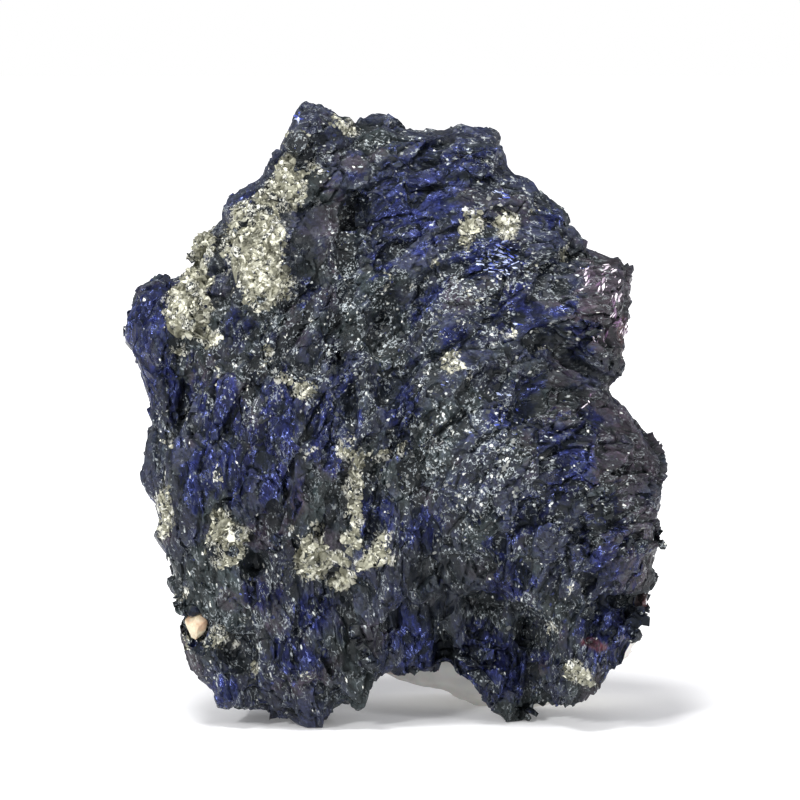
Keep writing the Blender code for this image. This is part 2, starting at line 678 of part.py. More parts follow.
def main():
    clear_scene()
    specimen = make_collection("covellite_specimen")
    cutters = make_collection("cutters")
    mass = make_mass(specimen)
    mass.data.materials.append(make_material("covellite"))
    tree = tree_of(mass)
    make_putty(mass, specimen, cutters).data.materials.append(make_material("putty"))
    make_quartz(mass, tree, specimen, cutters).data.materials.append(make_material("quartz"))
    pyrite = make_material("pyrite")
    for seed, spec in enumerate(CLUSTERS):
        cluster = make_cluster(spec, seed, mass, tree, specimen, cutters)
        cluster.data.materials.append(pyrite)
    drop_crumbs(mass)


main()
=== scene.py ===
import math

import bmesh
import bpy
import numpy as np
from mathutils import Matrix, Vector
from mathutils.bvhtree import BVHTree


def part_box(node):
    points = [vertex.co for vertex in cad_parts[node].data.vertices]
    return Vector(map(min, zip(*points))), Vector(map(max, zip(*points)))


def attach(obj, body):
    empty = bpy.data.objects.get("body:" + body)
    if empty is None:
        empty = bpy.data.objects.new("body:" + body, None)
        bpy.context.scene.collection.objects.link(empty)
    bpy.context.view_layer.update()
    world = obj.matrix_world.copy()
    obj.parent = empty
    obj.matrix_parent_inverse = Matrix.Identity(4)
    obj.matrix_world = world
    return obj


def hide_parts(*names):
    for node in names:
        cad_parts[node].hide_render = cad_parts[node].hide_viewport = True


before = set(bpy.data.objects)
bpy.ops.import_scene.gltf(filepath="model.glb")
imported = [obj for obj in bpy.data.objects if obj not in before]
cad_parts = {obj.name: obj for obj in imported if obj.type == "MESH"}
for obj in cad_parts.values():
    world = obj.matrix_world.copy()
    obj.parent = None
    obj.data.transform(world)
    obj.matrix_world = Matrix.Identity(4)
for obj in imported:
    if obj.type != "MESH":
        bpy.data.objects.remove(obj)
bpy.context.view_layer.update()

mm = 0.001

pyriteNodes = sorted(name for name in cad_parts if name.startswith("pyrite"))


# small mesh helpers

def readAll(items, what, width, kind=np.float32):
    flat = np.empty(len(items) * width, kind)
    items.foreach_get(what, flat)
    return flat.reshape(-1, width)


def getPoints(mesh):
    return readAll(mesh.vertices, "co", 3, float) / mm


def setPoints(mesh, points):
    mesh.vertices.foreach_set("co", np.asarray(points * mm, np.float32).ravel())
    mesh.update()


def getNormals(mesh):
    return readAll(mesh.vertices, "normal", 3).astype(float)


def getEdges(mesh):
    return readAll(mesh.edges, "vertices", 2, np.int32)


def linkNew(name, mesh):
    made = bpy.data.objects.new(name, mesh)
    bpy.context.scene.collection.objects.link(made)
    return made


def bakeModifiers(obj):
    bpy.context.view_layer.update()
    graph = bpy.context.evaluated_depsgraph_get()
    mesh = bpy.data.meshes.new_from_object(obj.evaluated_get(graph))
    obj.modifiers.clear()
    obj.data = mesh
    return obj


def reskin(obj, step):
    mod = obj.modifiers.new("skin", "REMESH")
    mod.mode = "VOXEL"
    mod.voxel_size = step * mm
    return bakeModifiers(obj)


def thinTo(obj, triangles):
    mod = obj.modifiers.new("thin", "DECIMATE")
    mod.ratio = min(1.0, triangles / (2.0 * len(obj.data.polygons)))
    mod.use_collapse_triangulate = True
    return bakeModifiers(obj)


# copies of CAD nodes in one mesh, their loose triangles merged, swollen by grow mm
def copyNodes(name, nodes, grow=0.0):
    shape = bmesh.new()
    for node in nodes:
        shape.from_mesh(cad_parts[node].data)
    bmesh.ops.remove_doubles(shape, verts=shape.verts, dist=0.002 * mm)
    shape.normal_update()
    for vert in shape.verts:
        vert.co += vert.normal * grow * mm
    mesh = bpy.data.meshes.new(name)
    shape.to_mesh(mesh)
    shape.free()
    return linkNew(name, mesh)


# mean of each point's neighbours, over and over
def relax(edges, values, times):
    a, b = edges[:, 0], edges[:, 1]
    count = np.bincount(a, minlength=len(values)) + np.bincount(b, minlength=len(values))
    count = np.maximum(count, 1)
    flat = values.reshape(len(values), -1)
    for _ in range(times):
        total = np.empty_like(flat)
        for column in range(flat.shape[1]):
            total[:, column] = (np.bincount(a, flat[b, column], len(flat))
                                + np.bincount(b, flat[a, column], len(flat)))
        flat = 0.5 * flat + 0.5 * total / count[:, None]
    return flat.reshape(values.shape)


def ease(low, high, value):
    share = np.clip((value - low) / (high - low), 0.0, 1.0)
    return share * share * (3.0 - 2.0 * share)


# noise worked out from whole-number corners, the same on every run

def cornerChance(ix, iy, iz, seed):
    h = (ix.astype(np.int64) * 73856093) ^ (iy.astype(np.int64) * 19349663) ^ (iz.astype(np.int64) * 83492791)
    h = (h ^ (seed * 668265263)) & 0xFFFFFFFF
    h = ((h ^ (h >> 15)) * 2246822519) & 0xFFFFFFFF
    h = ((h ^ (h >> 13)) * 3266489917) & 0xFFFFFFFF
    return ((h ^ (h >> 16)) & 0xFFFFFF) / float(0x1000000)


# soft noise from 0 to 1, one lump per unit
def drift(places, seed=0):
    base = np.floor(places)
    part = places - base
    part = part * part * (3.0 - 2.0 * part)
    base = base.astype(np.int64)
    total = np.zeros(len(places))
    for dx in (0, 1):
        for dy in (0, 1):
            for dz in (0, 1):
                far = np.abs(np.subtract((1, 1, 1), (dx, dy, dz)) - part)
                weight = far[:, 0] * far[:, 1] * far[:, 2]
                total += weight * cornerChance(base[:, 0] + dx, base[:, 1] + dy, base[:, 2] + dz, seed)
    return total


def driftLayers(places, layers, seed=0):
    total, size, full = np.zeros(len(places)), 1.0, 0.0
    for layer in range(layers):
        total += size * drift(places * 2.0 ** layer + 17.3 * layer, seed + layer)
        full += size
        size *= 0.5
    return total / full


# cells of broken stone: nearness of the first and second centre, the way to the first, and its own chances
def chipCells(places, seed=0):
    base = np.floor(places).astype(np.int64)
    first = np.full(len(places), 9.0)
    second = np.full(len(places), 9.0)
    toFirst = np.zeros((len(places), 3))
    chances = np.zeros((len(places), 3))
    for dx in (-1, 0, 1):
        for dy in (-1, 0, 1):
            for dz in (-1, 0, 1):
                cell = base + (dx, dy, dz)
                hand = np.stack([cornerChance(*cell.T, seed + k) for k in range(3)], 1)
                way = places - (cell + hand)
                away = np.sqrt((way ** 2).sum(1))
                nearer = away < first
                second = np.where(nearer, first, np.minimum(second, away))
                first = np.where(nearer, away, first)
                toFirst[nearer] = way[nearer]
                chances[nearer] = np.stack([cornerChance(cell[:, 0], cell[:, 1], cell[:, 2], seed + 11 + k)
                                            for k in range(3)], 1)[nearer]
    return first, second, toFirst, chances


# the stone

stone = {
    "fillGaps": 0.34,            # how far the CAD solids swell before they are skinned as one
    "skinStep": 0.20,
    "softenTimes": 2,
    "triangles": 192000,
    "foldCorner": (18.0, 19.0),  # the foliation stands upright left of this x and z, and lies flat above them
    "foldSoftness": 6.0,
    "ledges": [(2.9, 0.62, 5), (1.25, 0.12, 8)],   # spacing, height, seed
    # size, stretch along the foliation, tilt, lift, seed
    "chips": [(3.3, 1.9, 0.29, 0.28, 20), (1.5, 1.2, 0.20, 0.13, 34), (0.70, 1.0, 0.12, 0.030, 55)],
    "cracks": [(2.4, 2.2, 0.32, 71), (1.0, 1.3, 0.08, 72)],   # size, stretch, depth, seed
    "crumble": 0.025,
    "sharpFrom": 30.0,           # edges bent more than this stay sharp, in degrees
    "sunk": (0.36, 0.16),        # the relief is cut into the CAD's surface: at the outline, and on the faces
    "calmRim": (0.80, 0.0),     # how much large and small relief stays on the outline
}

# what the front shows, as x, z, half width, half height, lean and strength
bluePatches = [
    (-14.2, 50.5, 1.4, 0.7, 0, 0.8), (-23.4, 40.0, 2.3, 3.2, -8, 0.8), (6.1, 54.9, 4.1, 0.6, 4, 1.0),
    (2.2, 51.0, 4.6, 1.1, 3, 1.0), (0.2, 49.3, 2.8, 2.2, -20, 0.8), (-1.1, 44.9, 1.3, 1.4, 0, 0.8),
    (9.8, 45.1, 3.3, 1.6, 5, 1.2), (15.5, 48.9, 1.2, 1.1, -30, 0.8), (16.6, 40.2, 0.8, 0.6, 0, 1.0),
    (18.4, 38.1, 1.0, 0.6, 0, 1.0), (18.4, 35.8, 1.1, 0.8, 20, 0.9), (-11.6, 27.7, 1.8, 2.9, -6, 1.0),
    (-17.9, 28.5, 0.8, 3.7, 4, 0.9), (-14.5, 24.2, 2.7, 2.4, 15, 0.9), (-4.9, 31.2, 1.5, 3.6, 3, 1.0),
    (-2.1, 20.2, 1.2, 2.8, 4, 0.9), (-13.3, 12.4, 1.9, 1.1, -12, 1.0), (-8.0, 10.7, 1.5, 1.5, 30, 1.1),
    (-9.5, 6.4, 2.5, 2.2, 0, 0.9), (1.0, 31.8, 1.0, 2.9, 6, 1.1), (3.2, 40.6, 2.6, 1.0, 42, 0.8),
    (16.9, 24.7, 1.7, 1.1, 10, 1.0), (2.6, 19.0, 1.7, 1.9, -30, 1.1), (10.9, 17.3, 1.7, 0.8, 15, 1.1),
    (12.3, 14.3, 1.9, 1.1, -25, 1.0), (10.4, 12.8, 1.8, 0.8, -20, 1.0), (8.5, 6.7, 2.9, 2.6, 0, 0.9),
    (2.2, 8.6, 2.4, 3.1, 0, 0.9), (21.0, 9.7, 3.0, 2.4, 0, 0.9), (-16.7, 3.1, 1.2, 1.3, 0, 0.9),
    (12.0, 29.8, 2.2, 1.0, 25, 0.8), (21.3, 20.0, 1.4, 1.8, 10, 0.7), (-20.6, 33.6, 1.0, 2.0, 0, 0.7),
    (-8.5, 41.7, 0.9, 1.4, 0, 0.9), (5.8, 36.5, 0.9, 2.2, -35, 0.8), (13.4, 33.0, 1.6, 0.8, 35, 0.8),
    (14.0, 6.6, 1.3, 1.4, 0, 0.7), (-18.6, 24.0, 1.6, 3.0, 0, 0.9), (19.0, 28.5, 1.6, 1.2, -20, 0.8),
    (-15.8, 27.4, 1.3, 5.8, 3, 1.1), (-11.2, 27.6, 1.9, 5.6, -3, 1.1), (-6.6, 28.0, 1.5, 3.8, 2, 1.0),
    (0.4, 30.8, 1.2, 4.4, 4, 1.0), (3.4, 53.0, 6.0, 2.4, 4, 0.9), (-24.2, 36.4, 1.8, 5.6, -4, 1.0),
    (-21.0, 32.0, 1.2, 4.0, 0, 0.8), (16.6, 25.4, 2.2, 3.2, 20, 0.8), (9.6, 44.8, 3.8, 2.2, 10, 0.8),
    (2.9, 7.6, 1.9, 2.6, 0, 1.0), (9.8, 6.2, 3.6, 3.0, -10, 1.0), (21.4, 8.4, 2.8, 2.8, 20, 1.0),
    (-8.2, 10.4, 1.9, 1.7, 20, 1.0), (4.0, 48.8, 5.0, 3.0, 10, 0.7), (12.6, 39.4, 3.4, 2.4, -40, 0.6),
    (-14.6, 37.8, 2.0, 1.6, 0, 0.6), (20.8, 16.0, 2.8, 3.4, 0, 0.6), (13.6, 20.6, 2.4, 2.2, 20, 0.6),
]
plumPatches = [
    (21.0, 40.5, 3.4, 5.6, 0, 1.0), (22.6, 27.0, 4.2, 5.2, 0, 0.8), (23.0, 17.0, 3.2, 5.5, 0, 0.8),
    (17.5, 30.5, 4.2, 3.0, 30, 0.5), (-13.3, 12.4, 2.2, 1.4, 0, 0.9), (10.6, 13.0, 2.2, 1.1, -20, 0.8),
    (-10.5, 25.5, 2.0, 3.0, 0, 0.6), (-6.0, 47.0, 1.6, 5.0, 0, 0.5), (-12.0, 18.6, 2.2, 2.6, 0, 0.6),
    (-14.0, 28.5, 2.2, 5.0, 10, 0.7), (-16.5, 33.0, 3.0, 3.0, 0, 0.5), (-9.6, 20.8, 1.4, 1.2, 0, 0.7),
]
rustPatches = [
    (24.0, 11.5, 1.2, 0.8, 20, 1.0), (19.6, 7.4, 1.4, 0.6, 10, 0.9), (22.4, 37.4, 0.7, 1.6, 0, 0.6),
]
glossyPatches = [
    (20.8, 40.0, 2.6, 5.2, 0, 0.9), (-23.4, 38.5, 2.4, 3.6, 0, 0.7), (2.0, 50.8, 5.0, 1.6, 0, 0.6),
]
sparklePatches = [
    (8.5, 42.0, 6.5, 5.5, 30, 1.0), (-7.5, 35.5, 8.0, 6.0, 20, 0.8), (6.5, 24.0, 7.0, 6.0, 0, 1.0),
    (-14.0, 33.0, 7.0, 5.0, 0, 0.6), (17.0, 21.0, 6.0, 6.0, 0, 0.35), (-3.0, 40.0, 6.0, 8.0, 0, 0.8),
    (0.0, 27.0, 5.0, 8.0, 0, 0.7), (3.0, 56.0, 12.0, 2.0, 0, 0.5), (12.0, 51.0, 5.0, 5.0, -30, 0.5),
    (15.0, 11.0, 5.0, 4.0, 0, 0.5), (-14.0, 10.0, 7.0, 6.0, 0, 0.5),
]
# painted shade: the hollow, furrows, creases and the undersides of ledges, darkened
paintedShadePatches = [
    (5.0, 14.8, 4.5, 3.2, 0, 1.0), (-4.4, 46.5, 0.9, 3.6, -6, 1.0), (-9.2, 44.6, 1.3, 1.4, 0, 1.0),
    (-17.0, 45.6, 0.8, 2.8, -6, 1.0), (-1.8, 53.6, 1.6, 0.8, 0, 0.8), (3.8, 54.0, 1.0, 0.6, 0, 0.8),
    (15.2, 42.2, 1.6, 3.2, -40, 0.7), (17.8, 34.8, 3.0, 0.9, -28, 0.8), (-13.5, 15.6, 1.2, 0.9, 0, 0.9),
    (13.4, 7.7, 1.6, 1.0, 20, 1.0), (5.6, 8.4, 1.0, 4.0, 8, 0.7), (-2.0, 11.0, 1.6, 3.5, 20, 0.6),
    (21.5, 11.7, 3.0, 0.7, 10, 1.0), (1.5, 46.5, 2.2, 1.2, 0, 0.6), (-6.5, 28.5, 1.8, 3.2, 0, 0.5),
    (4.0, 12.0, 4.0, 3.0, 0, 1.0), (-1.5, 8.0, 2.0, 4.0, 20, 0.7), (-2.6, 33.0, 0.6, 5.0, 4, 0.6),
    (2.6, 27.6, 0.7, 4.4, 8, 0.6), (-20.4, 27.6, 0.8, 5.0, 0, 0.6), (-19.0, 13.6, 1.6, 3.4, 10, 0.5),
    (15.6, 33.8, 3.0, 1.6, -30, 0.6), (22.6, 21.0, 1.6, 4.6, 0, 0.5), (-8.6, 13.6, 3.6, 0.9, 0, 0.5),
    (5.0, 52.0, 9.0, 4.6, 0, 0.50), (-1.0, 57.0, 8.0, 2.0, 0, 0.35), (21.0, 34.0, 3.0, 3.0, 0, 0.4),
]
# narrow slots, cut into the stone and painted dark as shade, with their depth in mm last
slots = [
    (18.1, 34.4, 2.4, 0.42, -26, 1.1), (14.5, 42.9, 1.7, 0.45, 55, 1.0), (17.2, 45.2, 1.2, 0.6, 30, 0.9),
    (8.0, 55.8, 1.6, 0.40, 0, 0.9), (3.8, 54.3, 0.9, 0.24, 0, 0.5), (3.3, 51.6, 1.4, 0.26, 12, 0.6),
    (-1.2, 39.0, 0.5, 0.6, 0, 0.9), (1.4, 42.3, 0.6, 0.7, 0, 0.7), (8.3, 39.1, 1.2, 0.42, -10, 0.7),
    (14.1, 37.3, 1.4, 0.6, 30, 0.8), (4.2, 35.2, 1.1, 0.6, 0, 0.7), (9.2, 33.6, 1.1, 0.42, 0, 0.6),
    (10.7, 42.6, 0.18, 1.4, -5, 0.6), (-4.2, 49.0, 0.6, 1.6, 0, 1.0), (-4.6, 45.2, 0.7, 1.7, 0, 1.0),
    (-4.5, 41.6, 0.7, 1.2, 0, 0.9), (-8.2, 45.2, 0.7, 1.2, 0, 0.9), (-16.6, 46.4, 0.5, 1.9, -5, 0.9),
    (-4.2, 29.6, 0.5, 2.6, 0, 0.8), (-5.2, 34.5, 0.5, 1.4, 0, 0.6), (-13.5, 15.4, 0.8, 0.7, 0, 0.9),
    (4.9, 8.4, 0.6, 3.3, 3, 1.6), (8.9, 6.4, 0.7, 0.9, 0, 1.0), (21.6, 11.7, 2.0, 0.5, 8, 1.0),
    (-8.9, 29.6, 0.5, 0.5, 0, 0.6), (-17.9, 31.4, 0.35, 1.1, -20, 0.6), (-20.2, 31.2, 0.3, 2.2, -6, 0.5),
]
# pyrite on the front
pyritePatches = [
    # large patch and the slope above it
    (-12.1, 50.4, 0.95, 1.9, -10, 0.85), (-9.4, 51.6, 1.1, 2.0, -10, 0.62), (-10.6, 53.6, 0.8, 1.4, -10, 0.9),
    (-9.4, 56.6, 1.0, 0.6, 0, 0.9), (-13.5, 46.8, 2.6, 3.0, 0, 1.1), (-12.4, 42.3, 2.2, 1.9, 0, 1.1),
    (-10.3, 42.6, 0.8, 1.5, 0, 0.7), (-7.6, 53.6, 0.3, 0.8, 0, 0.9), (-4.6, 57.6, 1.6, 0.6, -25, 0.8),
    # knob and shoulder
    (-18.7, 46.3, 1.1, 2.1, 0, 1.1), (-19.0, 43.1, 1.3, 1.3, 0, 0.9), (-19.7, 39.9, 1.8, 2.2, 0, 1.1),
    (-18.1, 37.2, 1.3, 0.8, -30, 1.0), (-20.7, 35.9, 0.7, 0.45, -10, 0.9), (-17.0, 33.6, 0.4, 0.9, 0, 0.7),
    (-12.3, 35.6, 0.5, 0.8, 0, 1.0), (-10.9, 33.6, 0.7, 0.35, -30, 0.9), (-9.0, 32.4, 1.1, 0.9, 0, 0.9),
    # right of the middle
    (7.5, 48.2, 0.9, 1.5, 0, 1.0), (6.9, 46.7, 0.6, 0.7, 0, 0.9), (11.1, 47.8, 0.85, 1.3, 0, 1.0),
    (9.9, 48.6, 0.4, 0.5, 0, 0.8), (-0.7, 42.8, 0.3, 0.3, 0, 1.0), (5.7, 34.8, 1.0, 1.1, 30, 0.9),
    (11.3, 37.8, 0.5, 0.7, 0, 0.9), (16.2, 45.2, 0.4, 0.9, -20, 0.7), (13.4, 44.4, 0.35, 0.45, 0, 0.7),
    (14.7, 36.4, 0.5, 0.3, 0, 0.6), (7.3, 41.3, 1.7, 0.2, -10, 0.7), (8.0, 39.2, 1.9, 0.22, 40, 0.6),
    (3.0, 43.5, 2.2, 0.22, 40, 0.7), (6.9, 49.6, 0.4, 0.3, 20, 0.8), (13.4, 49.2, 0.7, 0.35, 0, 0.6),
    # vein and its branches
    (-3.8, 26.2, 1.35, 0.5, 0, 1.0), (-3.9, 28.3, 0.25, 1.2, 0, 0.7), (-3.6, 22.3, 0.6, 3.6, -3, 1.1),
    (-3.8, 17.5, 1.1, 0.8, -30, 0.9), (-1.2, 25.9, 1.2, 0.5, 35, 0.7), (1.0, 26.7, 0.5, 0.7, 0, 0.9),
    (-1.8, 15.9, 1.7, 0.6, 20, 1.0), (-1.1, 17.5, 0.5, 1.1, -30, 1.0), (-5.7, 15.9, 1.4, 0.65, 0, 0.9),
    (-4.9, 13.8, 1.3, 0.8, 20, 1.1), (-8.0, 16.0, 1.4, 2.0, 0, 1.1), (-7.2, 19.2, 0.45, 0.5, 0, 0.9),
    (-9.9, 18.2, 0.35, 0.35, 0, 0.9), (-8.0, 26.2, 0.3, 0.5, 0, 0.8), (-10.8, 31.0, 0.16, 1.0, -10, 0.8),
    # left and low
    (-16.2, 17.4, 1.6, 2.1, 0, 1.1), (-16.7, 20.0, 0.9, 0.7, 0, 0.9), (-16.7, 23.8, 0.25, 1.0, 0, 0.9),
    (-22.0, 20.4, 0.7, 2.4, 0, 1.0), (-22.0, 27.1, 0.5, 0.4, 0, 0.6), (-20.7, 11.7, 0.3, 1.0, 0, 0.9),
    (-19.0, 7.9, 1.0, 0.55, 0, 0.9), (-16.9, 8.2, 0.8, 0.9, 0, 0.9), (-15.1, 7.3, 0.3, 0.3, 0, 0.9),
    (-13.5, 5.1, 0.45, 0.9, 0, 0.8), (-13.9, 2.9, 0.3, 0.3, 0, 0.8), (-8.4, 4.8, 0.5, 0.6, 0, 0.7),
    (17.9, 4.8, 1.3, 0.8, -30, 1.0), (15.0, 9.0, 0.55, 0.35, 0, 0.8), (16.9, 12.8, 0.3, 0.25, 0, 0.8),
]


drawnFrom = {"rise": 6.0, "distance": 500.0, "aim": (0.3, 31.37), "shrink": 0.99}


# x and z on a sheet through the stone's middle, for a viewer in front and a little above
def asDrawn(points):
    rise = math.radians(drawnFrom["rise"])
    across, up = points[:, 0] - drawnFrom["aim"][0], points[:, 2] - drawnFrom["aim"][1]
    depth = points[:, 1] * math.cos(rise) - up * math.sin(rise)
    height = points[:, 1] * math.sin(rise) + up * math.cos(rise)
    scale = drawnFrom["shrink"] * drawnFrom["distance"] / (drawnFrom["distance"] + depth)
    return drawnFrom["aim"][0] + across * scale, drawnFrom["aim"][1] + height * scale


def spread(points, patches, sharp=1.0):
    x, z = asDrawn(points)
    total = np.zeros(len(points))
    for px, pz, halfX, halfZ, lean, strength in patches:
        turn = math.radians(lean)
        along = ((x - px) * math.cos(turn) + (z - pz) * math.sin(turn)) / halfX
        across = ((z - pz) * math.cos(turn) - (x - px) * math.sin(turn)) / halfZ
        total = np.maximum(total, strength * np.exp(-(0.72 * (along ** 2 + across ** 2)) ** (1.5 * sharp)))
    return total


# how far out a place lies in the foliation
def foldHeight(x, z):
    left, up, soft = stone["foldCorner"][0] - x, z - stone["foldCorner"][1], stone["foldSoftness"]
    softLeft, softUp = soft * np.logaddexp(0.0, left / soft), soft * np.logaddexp(0.0, up / soft)
    inside = (left - softLeft) / (1.0 + np.exp(up / soft)) + (up - softUp) / (1.0 + np.exp(left / soft))
    return np.hypot(softLeft, softUp) + 0.7 * inside


# place in the foliation: across the plates, along them, depth
def inFolds(points):
    x, z = points[:, 0], points[:, 2]
    return np.stack([foldHeight(x, z), 0.707 * (x + z), points[:, 1]], 1)


def isFront(normals):
    return ease(-0.35, 0.25, -normals[:, 1])


def breakStone(points, normals, blue):
    folds = inFolds(points)
    flat = np.abs(normals[:, 1])
    height = -(stone["sunk"][0] + (stone["sunk"][1] - stone["sunk"][0]) * ease(0.2, 0.8, flat))
    sunk = height.copy()
    small = np.zeros(len(points))
    for spacing, tall, seed in stone["ledges"]:
        bend = 2.6 * driftLayers(points / (spacing * 4.0), 3, seed)
        where = (folds[:, 0] / spacing + bend + 0.3 * folds[:, 2] / spacing) % 1.0
        strength = ease(0.36, 0.62, drift(points / (spacing * 2.2), seed + 1))
        height += tall * strength * (where - ease(0.86, 1.0, where) - 0.4)
    front = isFront(normals)
    for slot in slots:
        height -= slot[5] * spread(points, [(*slot[:5], 1.0)]) * front
    for size, stretch, tilt, lift, seed in stone["chips"]:
        scaled = folds / size
        scaled[:, 1] /= stretch
        _, _, way, chances = chipCells(scaled, seed)
        chip = size * tilt * (way * (chances - 0.5) * 2.0).sum(1) + lift * (chances[:, 0] - 0.5) * 2.0
        if size > 1.2:
            height += chip * (1.0 - 0.3 * blue)
        else:
            small += chip * (1.0 - 0.6 * blue)
    for size, stretch, deep, seed in stone["cracks"]:
        scaled = folds / size
        scaled[:, 1] /= stretch
        first, second, _, chances = chipCells(scaled, seed)
        small -= deep * ease(0.13, 0.02, second - first) * ease(0.3, 0.8, chances[:, 1])
    rough = driftLayers(points / 0.9, 3, 77)
    small += stone["crumble"] * (1.0 - np.abs(2.0 * rough - 1.0) * 3.0) * (1.0 - 0.8 * blue)
    large, fine = stone["calmRim"]
    broken = (height - sunk) * (large + (1.0 - large) * flat)
    broken += small * (fine + (1.0 - fine) * ease(0.1, 0.7, flat))
    return sunk + broken


# patches whose edges wander and break off with the chips that they lie on
def raggedSpread(points, patches, chips, sharp=1.0):
    bent = points.copy()
    for axis in range(3):
        bent[:, axis] += 2.4 * (driftLayers(points / 1.7, 2, 201 + axis) - 0.5)
    bitten = 0.9 * (chips - 0.5) * (spread(bent, patches, 0.6) > 0.08)
    return np.clip(spread(bent, patches, sharp) + bitten, 0, 1.3)


def chipChance(points, size, stretch, seed):
    scaled = inFolds(points) / size
    scaled[:, 1] /= stretch
    return chipCells(scaled, seed)[3][:, 1]


def paint(mesh, name, values):
    layer = mesh.attributes.new(name, "FLOAT_COLOR", "POINT")
    flat = np.ones((len(mesh.vertices), 4), np.float32)
    flat[:, :values.shape[1]] = values
    layer.data.foreach_set("color", flat.ravel())


def paintVector(mesh, name, values):
    layer = mesh.attributes.new(name, "FLOAT_VECTOR", "POINT")
    layer.data.foreach_set("vector", np.asarray(values, np.float32).ravel())


# how near each point is to the CAD's pyrite
def nearPyrite(points, reach):
    shape = bmesh.new()
    for node in pyriteNodes:
        shape.from_mesh(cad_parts[node].data)
    tree = BVHTree.FromBMesh(shape)
    shape.free()
    away = np.full(len(points), reach)
    for number, point in enumerate(points):
        hit = tree.find_nearest(Vector(point * mm), reach * mm)
        if hit[3] is not None:
            away[number] = hit[3] / mm
    return away


def makeStone():
    body = copyNodes("covellite_stone", ["covellite_mass", *pyriteNodes], stone["fillGaps"])
    reskin(body, stone["skinStep"])
    points = getPoints(body.data) - getNormals(body.data) * stone["fillGaps"]
    points = relax(getEdges(body.data), points, stone["softenTimes"])
    setPoints(body.data, points)
    print("stone skinned", len(points), "points")
    normals = getNormals(body.data)
    front = isFront(normals)
    pyriteField = ease(1.3, 0.5, nearPyrite(points, 1.3))[:, None]
    points += pyriteField * (relax(getEdges(body.data), points, 24) - points)    # less bulging crusts
    smooth = np.maximum(spread(points, bluePatches), spread(points, glossyPatches))
    blue = np.clip(smooth * front, 0, 1)
    points += normals * (breakStone(points, normals, blue) * ease(0.0, 0.8, points[:, 2]))[:, None]
    points[:, 2] = np.maximum(points[:, 2], 0.0)
    setPoints(body.data, points)
    thinTo(body, stone["triangles"])
    body.data.polygons.foreach_set("use_smooth", np.ones(len(body.data.polygons), bool))
    body.data.set_sharp_from_angle(angle=math.radians(stone["sharpFrom"]))
    print("stone broken into ledges and chips", len(body.data.polygons), "triangles")
    return body


def markStone(body):
    mesh = body.data
    points, normals, edges = getPoints(mesh), getNormals(mesh), getEdges(mesh)
    facing = isFront(normals)
    # painted shade: darker where the surface lies below its near and far neighbours
    near = ((relax(edges, points, 4) - points) * normals).sum(1)
    far = ((relax(edges, points, 40) - points) * normals).sum(1)
    crevice = np.clip(ease(0.02, 0.16, near) + ease(0.05, 0.5, far), 0, 1)
    ridge = ease(0.02, 0.12, -near)
    chips = 0.6 * chipChance(points, 1.3, 2.2, 301) + 0.4 * chipChance(points, 0.6, 1.8, 302)
    elsewhere = ease(0.50, 0.66, driftLayers(points / 2.6, 2, 64) + 0.25 * (chips - 0.5)) * (1.0 - facing)
    blue = np.maximum(raggedSpread(points, bluePatches, chips) * facing, elsewhere)
    plum = np.maximum(raggedSpread(points, plumPatches, chips) * facing,
                      ease(0.52, 0.75, driftLayers(points / 3.2, 3, 91)) * 0.6)
    rust = raggedSpread(points, rustPatches, chips, 1.2) * facing
    # dusted zones: a pale mist, and specks that are partly painted glints
    dust = np.maximum(spread(points, sparklePatches) * facing, 0.55 * (1.0 - facing))
    # painted shade in the listed shaded places and in the slots
    dark = np.maximum(0.75 * spread(points, paintedShadePatches), spread(points, slots)) * facing
    brass = np.maximum(raggedSpread(points, pyritePatches, chips, 1.3) * facing,
                       ease(1.0, 0.0, nearPyrite(points, 1.2) + 1.1 * (chips - 0.5)) * (1.0 - facing))
    haze = driftLayers(points / 4.0, 3, 93)
    paint(mesh, "marks", np.stack([blue, plum, rust], 1))
    # form holds the painted shade, the ridges, and the dusted and sparkling zones
    paint(mesh, "form", np.stack([np.maximum(crevice, dark), ridge, dust], 1))
    paint(mesh, "bloom", np.stack([brass, haze, chips], 1))
    paintVector(mesh, "folds", inFolds(points) / 10.0)
    print("stone marked")


# materials

